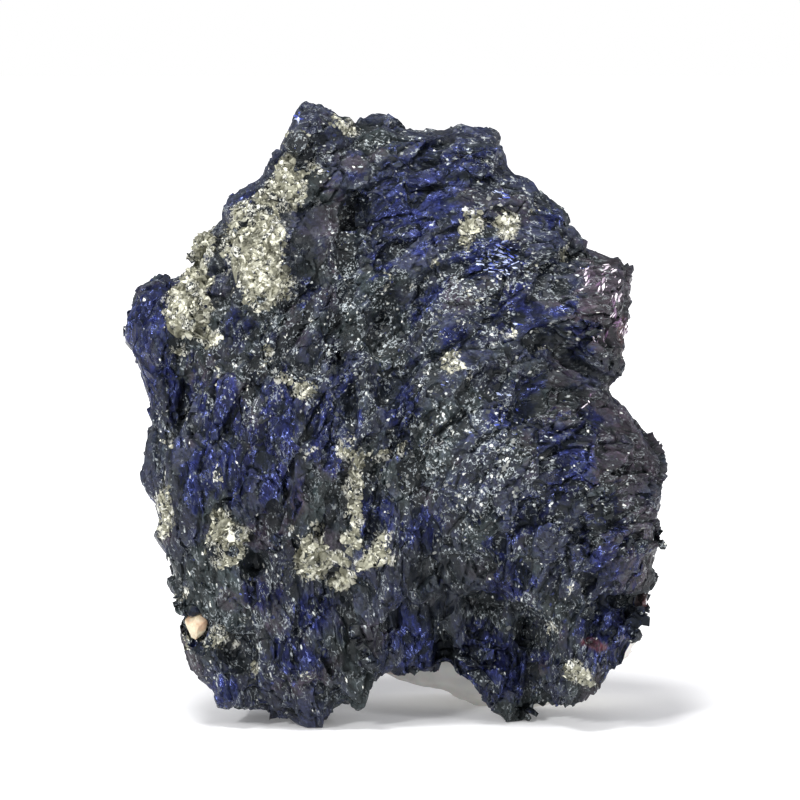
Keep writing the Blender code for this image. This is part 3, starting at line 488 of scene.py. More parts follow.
# adds nodes to one tree and joins them
class Kit:
    def __init__(self, tree):
        self.tree = tree
        self.shader = tree.nodes.get("Principled BSDF")

    # a number or a tone is set on the socket, another node's output is joined to it
    def feed(self, socket, value):
        if isinstance(value, bpy.types.NodeSocket):
            self.tree.links.new(value, socket)
        elif isinstance(value, tuple) and socket.type == "RGBA":
            socket.default_value = (*value, 1.0)
        elif value is not None:
            socket.default_value = value

    def add(self, kind, feeds, **settings):
        family = "" if kind.startswith(("Geometry", "Function")) else "ShaderNode"
        node = self.tree.nodes.new(family + kind)
        for name, value in settings.items():
            setattr(node, name, value)
        for name, value in feeds.items():
            self.feed(node.inputs[name], value)
        return node

    def maths(self, operation, *values):
        return self.add("Math", dict(enumerate(values)), operation=operation).outputs[0]

    def times(self, a, b):
        return self.maths("MULTIPLY", a, b)

    def plus(self, a, b):
        return self.maths("ADD", a, b)

    def minus(self, a, b):
        return self.maths("SUBTRACT", a, b)

    def power(self, a, b):
        return self.maths("POWER", a, b)

    def over(self, a, b):
        return self.maths("GREATER_THAN", a, b)

    def vectors(self, operation, feeds):
        return self.add("VectorMath", feeds, operation=operation).outputs[0]

    def mix(self, share, a, b, blend="MIX"):
        return self.add("Mix", {0: share, 6: a, 7: b}, data_type="RGBA", blend_type=blend).outputs[2]

    def shaded(self, colour, value):
        grey = self.add("CombineColor", {0: value, 1: value, 2: value}).outputs[0]
        return self.mix(1.0, colour, grey, "MULTIPLY")

    def between(self, value, low, high):
        feeds = {"Value": value, "From Min": low, "From Max": high}
        return self.add("MapRange", feeds, interpolation_type="SMOOTHSTEP").outputs[0]

    # thin lines where a noise passes a level
    def lines(self, noise, level, wide, thin):
        return self.between(self.maths("ABSOLUTE", self.minus(noise, level)), wide, thin)

    def noise(self, vector, scale, detail=3.0, rough=0.55, output="Fac"):
        feeds = {"Vector": vector, "Scale": scale, "Detail": detail, "Roughness": rough}
        return self.add("TexNoise", feeds).outputs[output]

    def cells(self, vector, scale):
        return self.add("TexVoronoi", {"Vector": vector, "Scale": scale}).outputs

    def split(self, colour):
        return self.add("SeparateColor", {0: colour}).outputs[:3]

    def mark(self, name, output="Color"):
        return self.add("Attribute", {}, attribute_name=name).outputs[output]

    def place(self):
        return self.add("TexCoord", {}).outputs["Object"]

    def stretched(self, vector, scale):
        return self.add("Mapping", {"Vector": vector, "Scale": scale}).outputs[0]

    def bump(self, height, strength, distance, normal=None):
        feeds = {"Height": height, "Strength": strength, "Distance": distance, "Normal": normal}
        return self.add("Bump", feeds).outputs[0]

    # a normal that leans another way in each cell, so that single flakes catch the light
    def leaning(self, colour, strength):
        way = self.vectors("SUBTRACT", {0: colour, 1: (0.5, 0.5, 0.5)})
        way = self.vectors("SCALE", {0: way, "Scale": strength})
        straight = self.add("NewGeometry", {}).outputs["Normal"]
        return self.vectors("NORMALIZE", {0: self.vectors("ADD", {0: straight, 1: way})})

    def finish(self, feeds):
        for name, value in feeds.items():
            self.feed(self.shader.inputs[name], value)


def newMaterial(name):
    material = bpy.data.materials.new(name)
    material.use_nodes = True
    return material, Kit(material.node_tree)


covellite = {
    "ground": (0.014, 0.020, 0.021),
    "haze": (0.014, 0.017, 0.040),
    "navy": (0.009, 0.012, 0.046),
    "royal": (0.014, 0.020, 0.110),
    # the cleaved plates' painted highlight
    "paintedFlash": (0.24, 0.30, 0.78),
    "plum": (0.034, 0.023, 0.032),
    "rust": (0.105, 0.028, 0.026),
    "brass": (0.24, 0.23, 0.17),
    # the crevices' colour is painted shade; it also darkens some cells of the pyrite powder
    "crevice": (0.009, 0.012, 0.013),
    "mist": (0.062, 0.078, 0.086),
    # silver and cream specks: partly the stone's pale grains, partly painted glints
    "silver": (0.40, 0.44, 0.46),
    "cream": (0.95, 0.95, 0.86),
    # where each tone begins and is full
    "hazeEdge": (0.56, 0.80), "plumEdge": (0.40, 1.05), "mistEdge": (0.46, 0.74),
    "blueEdge": (0.20, 0.60), "royalEdge": (0.42, 0.60), "rustEdge": (0.40, 0.9),
    "creviceEdge": (0.30, 1.10), "brassEdge": (0.42, 0.75),
    # level of the thin bright lines, which are painted highlights, and how far from it they fade out and are
    # full
    "glossLines": (0.53, 0.016, 0.004),
    "edgeHighlightLines": (0.47, 0.026, 0.008),
    # cells per mm across the foliation, and how much longer they are along it
    "flakes": (2.0, 0.65),
    "specks": (3.4, 0.90),
    "dust": (5.7, 1.0),
    "plates": (0.62, 0.55),
    "wander": (0.045, 0.06, 0.045),    # bends the cells, so that no speck is round
    "dustLit": 0.36,                   # share of the small cells that may light up, and of the larger ones
    "specksLit": 0.27,
    "lean": 0.34,                      # how far the flakes lean out of the surface
    "bump": (0.75, 0.00015),           # strength and depth in metres
}


def stoneCells(kit, vector, perMm, along):
    cell = kit.cells(kit.stretched(vector, (10.0, 10.0 * along, 10.0)), perMm)
    return cell, kit.split(cell["Color"])


def covelliteMaterial():
    c = covellite
    material, kit = newMaterial("covellite")
    times, plus, minus, mix, between = kit.times, kit.plus, kit.minus, kit.mix, kit.between
    folds = kit.mark("folds", "Vector")
    blueMark, plumMark, rustMark = kit.split(kit.mark("marks"))
    paintedShadeMark, ridgeMark, dustAndGlintMark = kit.split(kit.mark("form"))
    brassMark, hazeMark, _ = kit.split(kit.mark("bloom"))
    grain = kit.stretched(folds, (10.0, 7.5, 10.0))
    wander = kit.noise(grain, 2.2, 3.0, 0.5, "Color")
    bent = kit.vectors("MULTIPLY_ADD", {0: wander, 1: c["wander"], 2: folds})

    patchy = kit.noise(kit.place(), 480.0, 4.0, 0.6)
    fine = kit.noise(grain, 2.6, 5.0, 0.70)
    streak = kit.noise(grain, 0.9, 4.0, 0.60)
    thread = kit.noise(grain, 1.15, 3.0, 0.62)
    flake, flakeChance = stoneCells(kit, bent, *c["flakes"])
    speck, speckChance = stoneCells(kit, bent, *c["specks"])
    dust, dustChance = stoneCells(kit, bent, *c["dust"])
    _, plateChance = stoneCells(kit, bent, *c["plates"])

    # ground: charcoal with a bluish haze, and a grey mist where the stone is dusted
    colour = mix(between(plus(hazeMark, times(streak, 0.5)), *c["hazeEdge"]), c["ground"], c["haze"])
    plumShare = between(plus(plumMark, times(patchy, 0.5)), *c["plumEdge"])
    colour = mix(times(plumShare, 0.85), colour, c["plum"])
    misty = times(between(fine, *c["mistEdge"]), plus(times(dustAndGlintMark, 0.66), 0.06))
    colour = mix(misty, colour, c["mist"])

    # cleaved plates: navy, with royal blue bands and a few flashes, which are painted highlights
    blueShare = between(plus(blueMark, times(minus(fine, 0.5), 1.0)), *c["blueEdge"])
    royal = times(between(streak, *c["royalEdge"]), plus(0.22, times(flakeChance[1], 0.75)))
    blueTone = mix(royal, c["navy"], c["royal"])
    # thin bright blue lines: painted highlights on the cleaved plates
    paintedFlash = times(kit.lines(thread, *c["glossLines"]), kit.over(flakeChance[0], 0.62))
    blueTone = mix(times(paintedFlash, 0.8), blueTone, c["paintedFlash"])
    colour = mix(times(blueShare, 0.88), colour, blueTone)
    rustShare = between(plus(rustMark, times(fine, 0.5)), *c["rustEdge"])
    colour = mix(times(rustShare, 0.7), colour, c["rust"])

    # every plate and every small cell has its own darkness; the plates' darkness is painted shade, as if each
    # plate faced the light its own way
    for own, curve, least, gain in ((plateChance[1], 1.3, 0.52, 1.1), (dustChance[0], 2.2, 0.74, 0.9),
                                    (speckChance[1], 1.5, 0.70, 0.7)):
        colour = kit.shaded(colour, plus(least, times(kit.power(own, curve), gain)))

    # painted shade darkens the crevices and the listed dark places, and ridges are painted paler
    deep = between(plus(paintedShadeMark, times(fine, 0.35)), *c["creviceEdge"])
    colour = mix(times(deep, 0.85), colour, c["crevice"])
    colour = mix(times(times(ridgeMark, between(fine, 0.4, 0.65)), 0.35), colour, c["mist"])

    # fine specks, silver and cream, thick where the stone is dusted: partly pale grains, partly painted
    # glints
    density = times(plus(times(dustAndGlintMark, 0.62), 0.08), plus(between(patchy, 0.42, 0.62), 0.10))
    clear = minus(1.0, times(blueShare, 0.5))
    density = times(density, clear)
    smallLit = kit.over(dustChance[2], minus(1.0, times(density, c["dustLit"])))
    smallShare = times(smallLit, between(dust["Distance"], 0.66, 0.34))
    colour = mix(times(smallShare, 0.85), colour, mix(dustChance[1], c["mist"], c["silver"]))
    # thin silver lines along the plates' edges: painted highlights
    edgeHighlight = times(kit.lines(thread, *c["edgeHighlightLines"]), between(patchy, 0.44, 0.56))
    edgeHighlight = times(times(edgeHighlight, times(plus(dustAndGlintMark, 0.35), clear)), kit.over(speckChance[2], 0.35))
    colour = mix(kit.maths("MINIMUM", edgeHighlight, 1.0), colour, c["silver"])
    lit = kit.over(speckChance[0], minus(1.0, times(density, c["specksLit"])))
    speckShare = times(lit, between(speck["Distance"], 0.60, 0.28))
    colour = mix(speckShare, colour, mix(kit.power(speckChance[1], 1.6), c["silver"], c["cream"]))

    # pyrite powder round the clusters
    brassShare = between(plus(brassMark, times(minus(fine, 0.5), 1.4)), *c["brassEdge"])
    brassTone = mix(speckChance[1], c["brass"], c["cream"])
    brassTone = mix(between(dustChance[0], 0.6, 0.25), brassTone, c["crevice"])
    colour = mix(times(brassShare, 0.85), colour, brassTone)

    metal = kit.maths("MAXIMUM", times(blueShare, 0.7), times(speckShare, 0.6))
    leaning = kit.leaning(flake["Color"], c["lean"])
    kit.finish({
        "Base Color": colour,
        "Metallic": kit.maths("MAXIMUM", metal, 0.15),
        "Roughness": plus(0.20, times(plateChance[2], 0.36)),
        "Specular IOR Level": 0.35,
        "Normal": kit.bump(plus(fine, times(dustChance[0], 0.15)), *c["bump"], leaning),
    })
    return material


body = makeStone()
markStone(body)
body.data.materials.clear()
body.data.materials.append(covelliteMaterial())
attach(body, "root")
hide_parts("covellite_mass")
print("stone finished")


# what is strewn over the stone: one tree of nodes, set up anew for each piece

def strewTree():
    tree = bpy.data.node_groups.new("strewOverStone", "GeometryNodeTree")
    for name, kind in (("Bed", "Geometry"), ("Shapes", "Collection"), ("Per square metre", "Float"),
                       ("Smallest", "Float"), ("Largest", "Float"), ("Fewer large ones", "Float"),
                       ("Lift", "Float"), ("Tumble", "Float"), ("Seed", "Int"), ("Finish", "Material")):
        tree.interface.new_socket(name, in_out="INPUT", socket_type="NodeSocket" + kind)
    tree.interface.new_socket("Geometry", in_out="OUTPUT", socket_type="NodeSocketGeometry")
    kit = Kit(tree)
    given = tree.nodes.new("NodeGroupInput").outputs

    def inUse(sockets):
        return [socket for socket in sockets if socket.enabled]

    def chance(kind, low, high, shift):
        node = kit.add("FunctionNodeRandomValue", {}, data_type=kind)
        for socket, value in zip(inUse(node.inputs), (low, high)):
            kit.feed(socket, value)
        seed = kit.add("FunctionNodeIntegerMath", {0: given["Seed"], 1: shift}).outputs[0]
        kit.feed(node.inputs["Seed"], seed)
        return inUse(node.outputs)[0]

    def named(name, kind):
        return inUse(kit.add("GeometryNodeInputNamedAttribute", {"Name": name}, data_type=kind).outputs)[0]

    # where they lie, and how large
    density = kit.times(given["Per square metre"], named("thick", "FLOAT"))
    spots = kit.add("GeometryNodeDistributePointsOnFaces",
                    {"Mesh": given["Bed"], "Density": density, "Seed": given["Seed"]}).outputs
    share = kit.power(chance("FLOAT", 0.0, 1.0, 1), given["Fewer large ones"])
    size = kit.plus(given["Smallest"], kit.times(share, kit.minus(given["Largest"], given["Smallest"])))
    rise = kit.times(size, kit.times(given["Lift"], chance("FLOAT", -0.6, 1.0, 2)))
    offset = kit.vectors("SCALE", {0: spots["Normal"], "Scale": rise})
    lifted = kit.add("GeometryNodeSetPosition", {"Geometry": spots["Points"], "Offset": offset}).outputs[0]

    # lying on the surface, pointing along it, then tumbled a little
    flat = kit.add("FunctionNodeAlignRotationToVector", {"Vector": spots["Normal"]}, axis="Z").outputs[0]
    along = kit.add("FunctionNodeAlignRotationToVector",
                    {"Rotation": flat, "Vector": named("along", "FLOAT_VECTOR")}, axis="X", pivot_axis="Z")
    tilt = kit.vectors("SCALE", {0: chance("FLOAT_VECTOR", (-1.0, -1.0, -1.0), (1.0, 1.0, 1.0), 3),
                                 "Scale": given["Tumble"]})
    turned = kit.add("FunctionNodeRotateRotation", {"Rotation": along.outputs[0], "Rotate By": tilt},
                     rotation_space="LOCAL").outputs[0]

    shapes = kit.add("GeometryNodeCollectionInfo", {
        "Collection": given["Shapes"], "Separate Children": True, "Reset Children": True}).outputs[0]
    stretch = kit.vectors("SCALE", {0: chance("FLOAT_VECTOR", (0.75, 0.75, 0.75), (1.3, 1.3, 1.3), 4),
                                    "Scale": size})
    placed = kit.add("GeometryNodeInstanceOnPoints", {
        "Points": lifted, "Instance": shapes, "Pick Instance": True, "Rotation": turned,
        "Scale": stretch}).outputs[0]
    toned = kit.add("GeometryNodeStoreNamedAttribute", {"Name": "tone", "Geometry": placed},
                    data_type="FLOAT", domain="INSTANCE")
    kit.feed(next(s for s in inUse(toned.inputs) if s.name == "Value"), chance("FLOAT", 0.0, 1.0, 5))
    real = kit.add("GeometryNodeRealizeInstances", {0: toned.outputs[0]}).outputs[0]
    finish = kit.add("GeometryNodeSetMaterial", {"Geometry": real, "Material": given["Finish"]}).outputs[0]
    kit.feed(tree.nodes.new("NodeGroupOutput").inputs[0], finish)
    return tree


strew = strewTree()


def strewOver(bed, settings, shapes, finish):
    mod = bed.modifiers.new("strew", "NODES")
    mod.node_group = strew
    values = {
        "Shapes": shapes, "Finish": finish, "Per square metre": settings["perSquareMm"] * 1e6,
        "Smallest": settings["smallest"] * mm, "Largest": settings["largest"] * mm,
        "Fewer large ones": settings["fewerLarge"], "Lift": settings["lift"],
        "Tumble": settings["tumble"], "Seed": settings["seed"],
    }
    for socket in strew.interface.items_tree:
        if socket.in_out == "INPUT" and socket.name in values:
            mod[socket.identifier] = values[socket.name]
    return bakeModifiers(bed)


# a small rough solid: a squarish lump with its corners knocked about, one unit across
def lumps(name, count, seed, squash=(1.0, 1.0, 1.0), corners=9):
    group = bpy.data.collections.new(name)
    rng = np.random.default_rng(seed)
    for number in range(count):
        shape = bmesh.new()
        ways = rng.normal(size=(corners, 3))
        ways /= np.abs(ways).max(axis=1)[:, None] ** 0.7 * np.linalg.norm(ways, axis=1)[:, None] ** 0.3
        for way in ways * 0.5 * np.array(squash):
            shape.verts.new(way)
        hull = bmesh.ops.convex_hull(shape, input=shape.verts)
        spare = [*hull["geom_interior"], *hull["geom_unused"]]
        loose = {v for v in spare if isinstance(v, bmesh.types.BMVert)}
        bmesh.ops.delete(shape, geom=list(loose), context="VERTS")
        bmesh.ops.recalc_face_normals(shape, faces=shape.faces)
        mesh = bpy.data.meshes.new(f"{name}{number}")
        shape.to_mesh(mesh)
        shape.free()
        group.objects.link(bpy.data.objects.new(f"{name}{number}", mesh))
    return group


# a four-cornered flake, long and thin
def flakeShapes(name, count, seed, slim):
    group = bpy.data.collections.new(name)
    rng = np.random.default_rng(seed)
    for number in range(count):
        shape = bmesh.new()
        ring = []
        for corner in range(4):
            turn = 2 * math.pi * (corner + rng.uniform(-0.25, 0.25)) / 4
            ring.append((0.5 * math.cos(turn), 0.5 * math.sin(turn) * rng.uniform(*slim)))
        low = [shape.verts.new((x * 1.15, y * 1.15, -0.10)) for x, y in ring]
        top = [shape.verts.new((x, y, 0.07 + rng.uniform(-0.03, 0.03))) for x, y in ring]
        shape.faces.new(top)
        for k in range(4):
            shape.faces.new((low[k], low[(k + 1) % 4], top[(k + 1) % 4], top[k]))
        shape.faces.new(list(reversed(low)))
        bmesh.ops.triangulate(shape, faces=shape.faces)
        bmesh.ops.recalc_face_normals(shape, faces=shape.faces)
        mesh = bpy.data.meshes.new(f"{name}{number}")
        shape.to_mesh(mesh)
        shape.free()
        group.objects.link(bpy.data.objects.new(f"{name}{number}", mesh))
    return group


# the stone's own faces where a piece is strewn, with how thickly and the way that it points:
# along the foliation, or leaning by some degrees
def cutBed(name, thick, lean=None):
    mesh = body.data
    tri = np.empty(len(mesh.polygons) * 3, np.int32)
    mesh.polygons.foreach_get("vertices", tri)
    tri = tri.reshape(-1, 3)
    tri = tri[(thick[tri] > 0.02).all(1)]
    used, new = np.unique(tri, return_inverse=True)
    points, normals = getPoints(mesh)[used], getNormals(mesh)[used]
    bed = bpy.data.meshes.new(name)
    bed.from_pydata((points * mm).tolist(), [], new.reshape(-1, 3).tolist())
    layer = bed.attributes.new("thick", "FLOAT", "POINT")
    layer.data.foreach_set("value", np.asarray(thick[used], np.float32))
    x, z = points[:, 0], points[:, 2]
    along = np.stack([foldHeight(x, z + 0.1) - foldHeight(x, z - 0.1), np.zeros(len(used)),
                      foldHeight(x - 0.1, z) - foldHeight(x + 0.1, z)], 1)
    along /= np.maximum(np.linalg.norm(along, axis=1), 1e-6)[:, None]
    if lean is not None:
        along[:] = (math.cos(math.radians(lean)), 0.0, math.sin(math.radians(lean)))
    layer = bed.attributes.new("along", "FLOAT_VECTOR", "POINT")
    layer.data.foreach_set("vector", np.asarray(along, np.float32).ravel())
    return linkNew(name, bed)


pyrite = {
    "reach": 0.75,              # how far from the CAD crystals at the back the grains spread, in mm
    "belongs": (1.7, 1.0),      # grains nearer than this to a cluster of the CAD belong to it
    "grains": {"perSquareMm": 15.0, "smallest": 0.24, "largest": 1.05, "fewerLarge": 1.9, "lift": 0.04,
               "tumble": 0.42, "seed": 3},
    "loose": {"perSquareMm": 14.0, "smallest": 0.16, "largest": 0.68, "fewerLarge": 1.7, "lift": 0.06,
              "tumble": 0.6, "seed": 19},
    "bright": [        # where the crystals face the light
        (-4.9, 13.7, 1.1, 0.9, 20, 0.9), (-11.6, 47.4, 0.9, 1.0, 0, 0.5), (-9.6, 17.2, 0.5, 0.8, 0, 0.5),
        (-12.8, 43.0, 1.4, 0.8, 0, 0.4), (-20.6, 40.4, 0.8, 0.6, 0, 0.4), (-1.4, 42.8, 0.4, 0.4, 0, 0.6),
    ],
    # pale pyrite, its painted highlight in cream and its painted shade
    "pale": (0.29, 0.285, 0.215),
    "cream": (0.80, 0.79, 0.66),
    "shade": (0.10, 0.10, 0.075),
}


def pyriteMaterial():
    p = pyrite
    material, kit = newMaterial("pyrite")
    place, tone = kit.place(), kit.mark("tone", "Fac")
    blotch = kit.between(kit.noise(place, 1100.0, 4.0, 0.65), 0.46, 0.66)
    # grains with a high tone turn cream: a painted highlight
    colour = kit.mix(kit.between(tone, 0.45, 0.98), p["pale"], p["cream"])
    # darker in blotches
    colour = kit.mix(kit.times(blotch, 0.85), colour, p["shade"])
    colour = kit.mix(kit.between(tone, 0.14, 0.08), colour, p["shade"])    # a few grains stay dark, painted shade
    kit.finish({
        "Base Color": colour,
        "Metallic": 0.45,
        "Roughness": kit.plus(0.26, kit.times(tone, 0.3)),
        "Normal": kit.bump(kit.cells(place, 3200.0)["Distance"], 0.5, 0.00008),
    })
    return material


def oneFinish(obj, finish):
    obj.data.materials.clear()
    obj.data.materials.append(finish)
    obj.data.polygons.foreach_set("material_index", np.zeros(len(obj.data.polygons), np.int32))


# the grains at the bright places, where the crystals face the light, get a lighter tone: painted light
def brighten(crust):
    tone = crust.data.attributes["tone"].data
    values = np.empty(len(tone))
    tone.foreach_get("value", values)
    lit = spread(getPoints(crust.data), pyrite["bright"])
    tone.foreach_set("value", np.minimum(values + 0.75 * lit, 1.0).astype(np.float32))


# adds the CAD crystals that the grains sit on
def addSeat(crust, node):
    seat = copyNodes("seat", [node], -0.4)
    tone = seat.data.attributes.new("tone", "FLOAT", "POINT")
    tone.data.foreach_set("value", np.full(len(seat.data.vertices), 0.4, np.float32))
    shape = bmesh.new()
    shape.from_mesh(crust.data)
    shape.from_mesh(seat.data)
    shape.to_mesh(crust.data)
    shape.free()
    bpy.data.objects.remove(seat)


def makePyrite():
    finish = pyriteMaterial()
    shapes = lumps("pyriteGrain", 7, 5, (1.0, 0.85, 0.5))
    points = getPoints(body.data)
    front = isFront(getNormals(body.data))
    ragged = driftLayers(points / 0.9, 2, 41)
    bent = points.copy()
    for axis in range(3):
        bent[:, axis] += 1.6 * (driftLayers(points / 1.1, 2, 401 + axis) - 0.5)
    field = ease(0.26, 0.55, spread(bent, pyritePatches, 1.3) + 0.30 * (ragged - 0.5)) * front
    nearest = np.full(len(points), 9.0)
    far, close = pyrite["belongs"]
    for number, node in enumerate(pyriteNodes):
        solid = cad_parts[node].data
        tree = BVHTree.FromPolygons([v.co for v in solid.vertices], [p.vertices for p in solid.polygons])
        low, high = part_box(node)
        low, high = np.array(low) / mm - 2, np.array(high) / mm + 2
        near = ((points > low) & (points < high)).all(1)
        away = np.full(len(points), 9.0)
        for index in np.flatnonzero(near):
            hit = tree.find_nearest(Vector(points[index] * mm), 2 * mm)
            if hit[3] is not None:
                away[index] = hit[3] / mm
        mine = away < nearest
        nearest = np.minimum(nearest, away)
        if "back" in node:
            thick = ease(pyrite["reach"] * 1.5, 0.1, away + 2.6 * (ragged - 0.5))
        else:
            thick = field * ease(far, close, away) * mine
        settings = dict(pyrite["grains"], seed=pyrite["grains"]["seed"] + number)
        crust = strewOver(cutBed(node + "_crust", thick), settings, shapes, finish)
        brighten(crust)
        addSeat(crust, node)
        oneFinish(crust, finish)
        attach(crust, "root")
        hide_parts(node)
        print(node, len(crust.data.polygons), "faces")
    thick = field * (1.0 - ease(far, close, nearest))
    crumbs = strewOver(cutBed("loose_pyrite_grains", thick), pyrite["loose"], shapes, finish)
    oneFinish(crumbs, finish)
    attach(crumbs, "root")
    print("loose pyrite", len(crumbs.data.polygons), "faces")


makePyrite()


flakes = {
    "strewn": {"perSquareMm": 3.0, "smallest": 0.14, "largest": 0.60, "fewerLarge": 2.4, "lift": 0.05,
               "tumble": 0.28, "seed": 61},
    "grey": (0.060, 0.068, 0.070),
    "silver": (0.46, 0.47, 0.44),
    "blue": (0.02, 0.03, 0.12),
    "blotch": (0.05, 0.055, 0.06),
}


def flakeMaterial():
    f = flakes
    material, kit = newMaterial("covelliteFlakes")
    tone, blotch = kit.mark("tone", "Fac"), kit.noise(kit.place(), 1500.0, 3.0)
    colour = kit.mix(kit.between(tone, 0.45, 1.05), f["grey"], f["silver"])
    colour = kit.mix(kit.between(tone, 0.24, 0.18), colour, f["blue"])
    kit.finish({
        "Base Color": kit.mix(kit.times(blotch, 0.6), colour, f["blotch"]),
        "Metallic": 0.7,
        "Roughness": kit.plus(0.22, kit.times(blotch, 0.3)),
    })
    return material


def makeFlakes():
    points = getPoints(body.data)
    normals = getNormals(body.data)
    front = isFront(normals)
    blue = spread(points, bluePatches) * front
    dust = np.maximum(spread(points, sparklePatches) * front, 0.45 * (1.0 - front))
    uneven = ease(0.42, 0.62, driftLayers(inFolds(points) / (1.6, 4.0, 1.6), 2, 29))
    thick = (0.10 + dust) * uneven * (1.0 - 0.85 * blue) * ease(0.1, 0.6, points[:, 2])
    thick *= ease(0.25, 0.6, np.abs(normals[:, 1]))
    shapes = flakeShapes("flake", 6, 9, (0.55, 0.95))
    finish = flakeMaterial()
    sheet = strewOver(cutBed("covellite_flakes", thick), flakes["strewn"], shapes, finish)
    oneFinish(sheet, finish)
    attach(sheet, "root")
    print("flakes", len(sheet.data.polygons), "faces")


makeFlakes()


# cleaved plates whose flashes of light are painted on as bright tones: where they lie, and their tones
flashes = {
    "strewn": {"perSquareMm": 9.0, "smallest": 0.16, "largest": 0.85, "fewerLarge": 1.9, "lift": 0.02,
               "tumble": 0.30, "seed": 91},
    "blue": {
        "lean": -22.0,
        "places": [
            (10.3, 51.1, 0.6, 0.5, 0, 0.9), (10.1, 45.0, 1.7, 1.2, -15, 0.7),
            (10.9, 40.0, 0.5, 0.22, -20, 1.0),
            (12.4, 38.3, 0.7, 0.22, -25, 1.0), (10.5, 31.7, 0.6, 0.25, -20, 1.0),
            (7.4, 27.8, 0.4, 0.3, 0, 0.8),
            (11.5, 27.8, 0.5, 0.3, 0, 0.8), (16.0, 48.3, 0.25, 0.5, 0, 0.9),
            (-14.2, 12.4, 0.6, 0.3, -10, 0.6),
            (-6.4, 53.2, 0.3, 0.2, 0, 1.0), (-9.0, 39.3, 0.25, 0.25, 0, 1.0), (-18.0, 35.6, 0.3, 0.2, 0, 1.0),
            (-8.4, 42.5, 0.2, 0.2, 0, 1.0), (-9.1, 58.4, 0.5, 0.4, 0, 0.8), (-21.9, 28.3, 0.2, 0.2, 0, 1.0),
            (11.4, 54.6, 0.2, 0.9, -20, 0.7), (4.6, 32.8, 0.5, 0.3, 20, 0.6),
            (8.2, 31.2, 0.8, 0.4, -20, 0.5), (12.2, 30.4, 0.7, 0.3, -20, 0.6), (9.8, 29.0, 0.4, 0.3, 0, 0.5),
        ],
        "deep": (0.05, 0.08, 0.42), "bright": (0.60, 0.68, 0.95),
    },
    "pink": {
        "lean": 64.0,
        "places": [
            (18.7, 43.3, 0.25, 1.5, -14, 1.0), (20.8, 43.5, 0.7, 0.7, 0, 0.6),
            (21.3, 40.8, 0.6, 0.3, 30, 1.0),
            (21.3, 39.6, 0.4, 0.3, 0, 0.9), (18.1, 43.8, 0.2, 1.0, 0, 0.8), (20.5, 36.9, 0.3, 0.8, 0, 0.8),
            (19.1, 31.5, 0.2, 0.9, -35, 1.0), (19.7, 37.4, 0.4, 0.5, 0, 0.7), (22.4, 37.9, 0.4, 0.5, 0, 0.6),
            (21.5, 42.0, 0.2, 0.8, -20, 0.7), (21.7, 38.6, 0.9, 0.3, 25, 0.9),
            (20.0, 42.2, 0.5, 0.9, -30, 0.8),
        ],
        "deep": (0.16, 0.09, 0.17), "bright": (0.90, 0.80, 0.88),
    },
}


def flashMaterial(name, deep, bright):
    material, kit = newMaterial(name)
    tone, blotch = kit.mark("tone", "Fac"), kit.noise(kit.place(), 1500.0, 3.0)
    kit.finish({
        # the bright tone is a painted highlight
        "Base Color": kit.mix(kit.between(kit.plus(tone, kit.times(blotch, 0.4)), 0.45, 0.95), deep, bright),
        "Metallic": 0.1,
        "Roughness": kit.plus(0.15, kit.times(blotch, 0.25)),
    })
    return material


def makeFlashes():
    points = getPoints(body.data)
    front = isFront(getNormals(body.data))
    for number, name in enumerate(("blue", "pink")):
        kind = flashes[name]
        shapes = flakeShapes(name + "Plate", 5, 31 + number, (0.20, 0.42))
        settings = dict(flashes["strewn"], seed=flashes["strewn"]["seed"] + number)
        bed = cutBed(name + "_cleavage_flashes", spread(points, kind["places"], 1.3) * front, kind["lean"])
        finish = flashMaterial(name + "Flash", kind["deep"], kind["bright"])
        plates = strewOver(bed, settings, shapes, finish)
        oneFinish(plates, finish)
        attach(plates, "root")
        print(name, "flashes", len(plates.data.polygons), "faces")


makeFlashes()


quartz = {
    "cuts": 9,                  # flat breaks, and how far from the middle, as a share of the size
    "cutAt": (0.62, 0.86),
    "seed": 12,
    "edgeWidth": 0.05,
    "inward": 0.45,             # sits this much further in than the CAD's chip
    "pink": (0.50, 0.33, 0.22),
    "cream": (0.60, 0.53, 0.38),
}


def quartzMaterial():
    q = quartz
    material, kit = newMaterial("pinkQuartz")
    place = kit.place()
    cloud = kit.noise(place, 900.0, 4.0)
    kit.finish({
        "Base Color": kit.mix(kit.between(cloud, 0.35, 0.65), q["pink"], q["cream"]),
        "Roughness": kit.plus(0.16, kit.times(cloud, 0.2)),
        "Subsurface Weight": 0.2,
        "Subsurface Radius": (1.0, 0.6, 0.4),
        "Subsurface Scale": 0.0006,
        "Normal": kit.bump(kit.noise(place, 3000.0, 3.0), 0.4, 0.0001),
    })
    return material


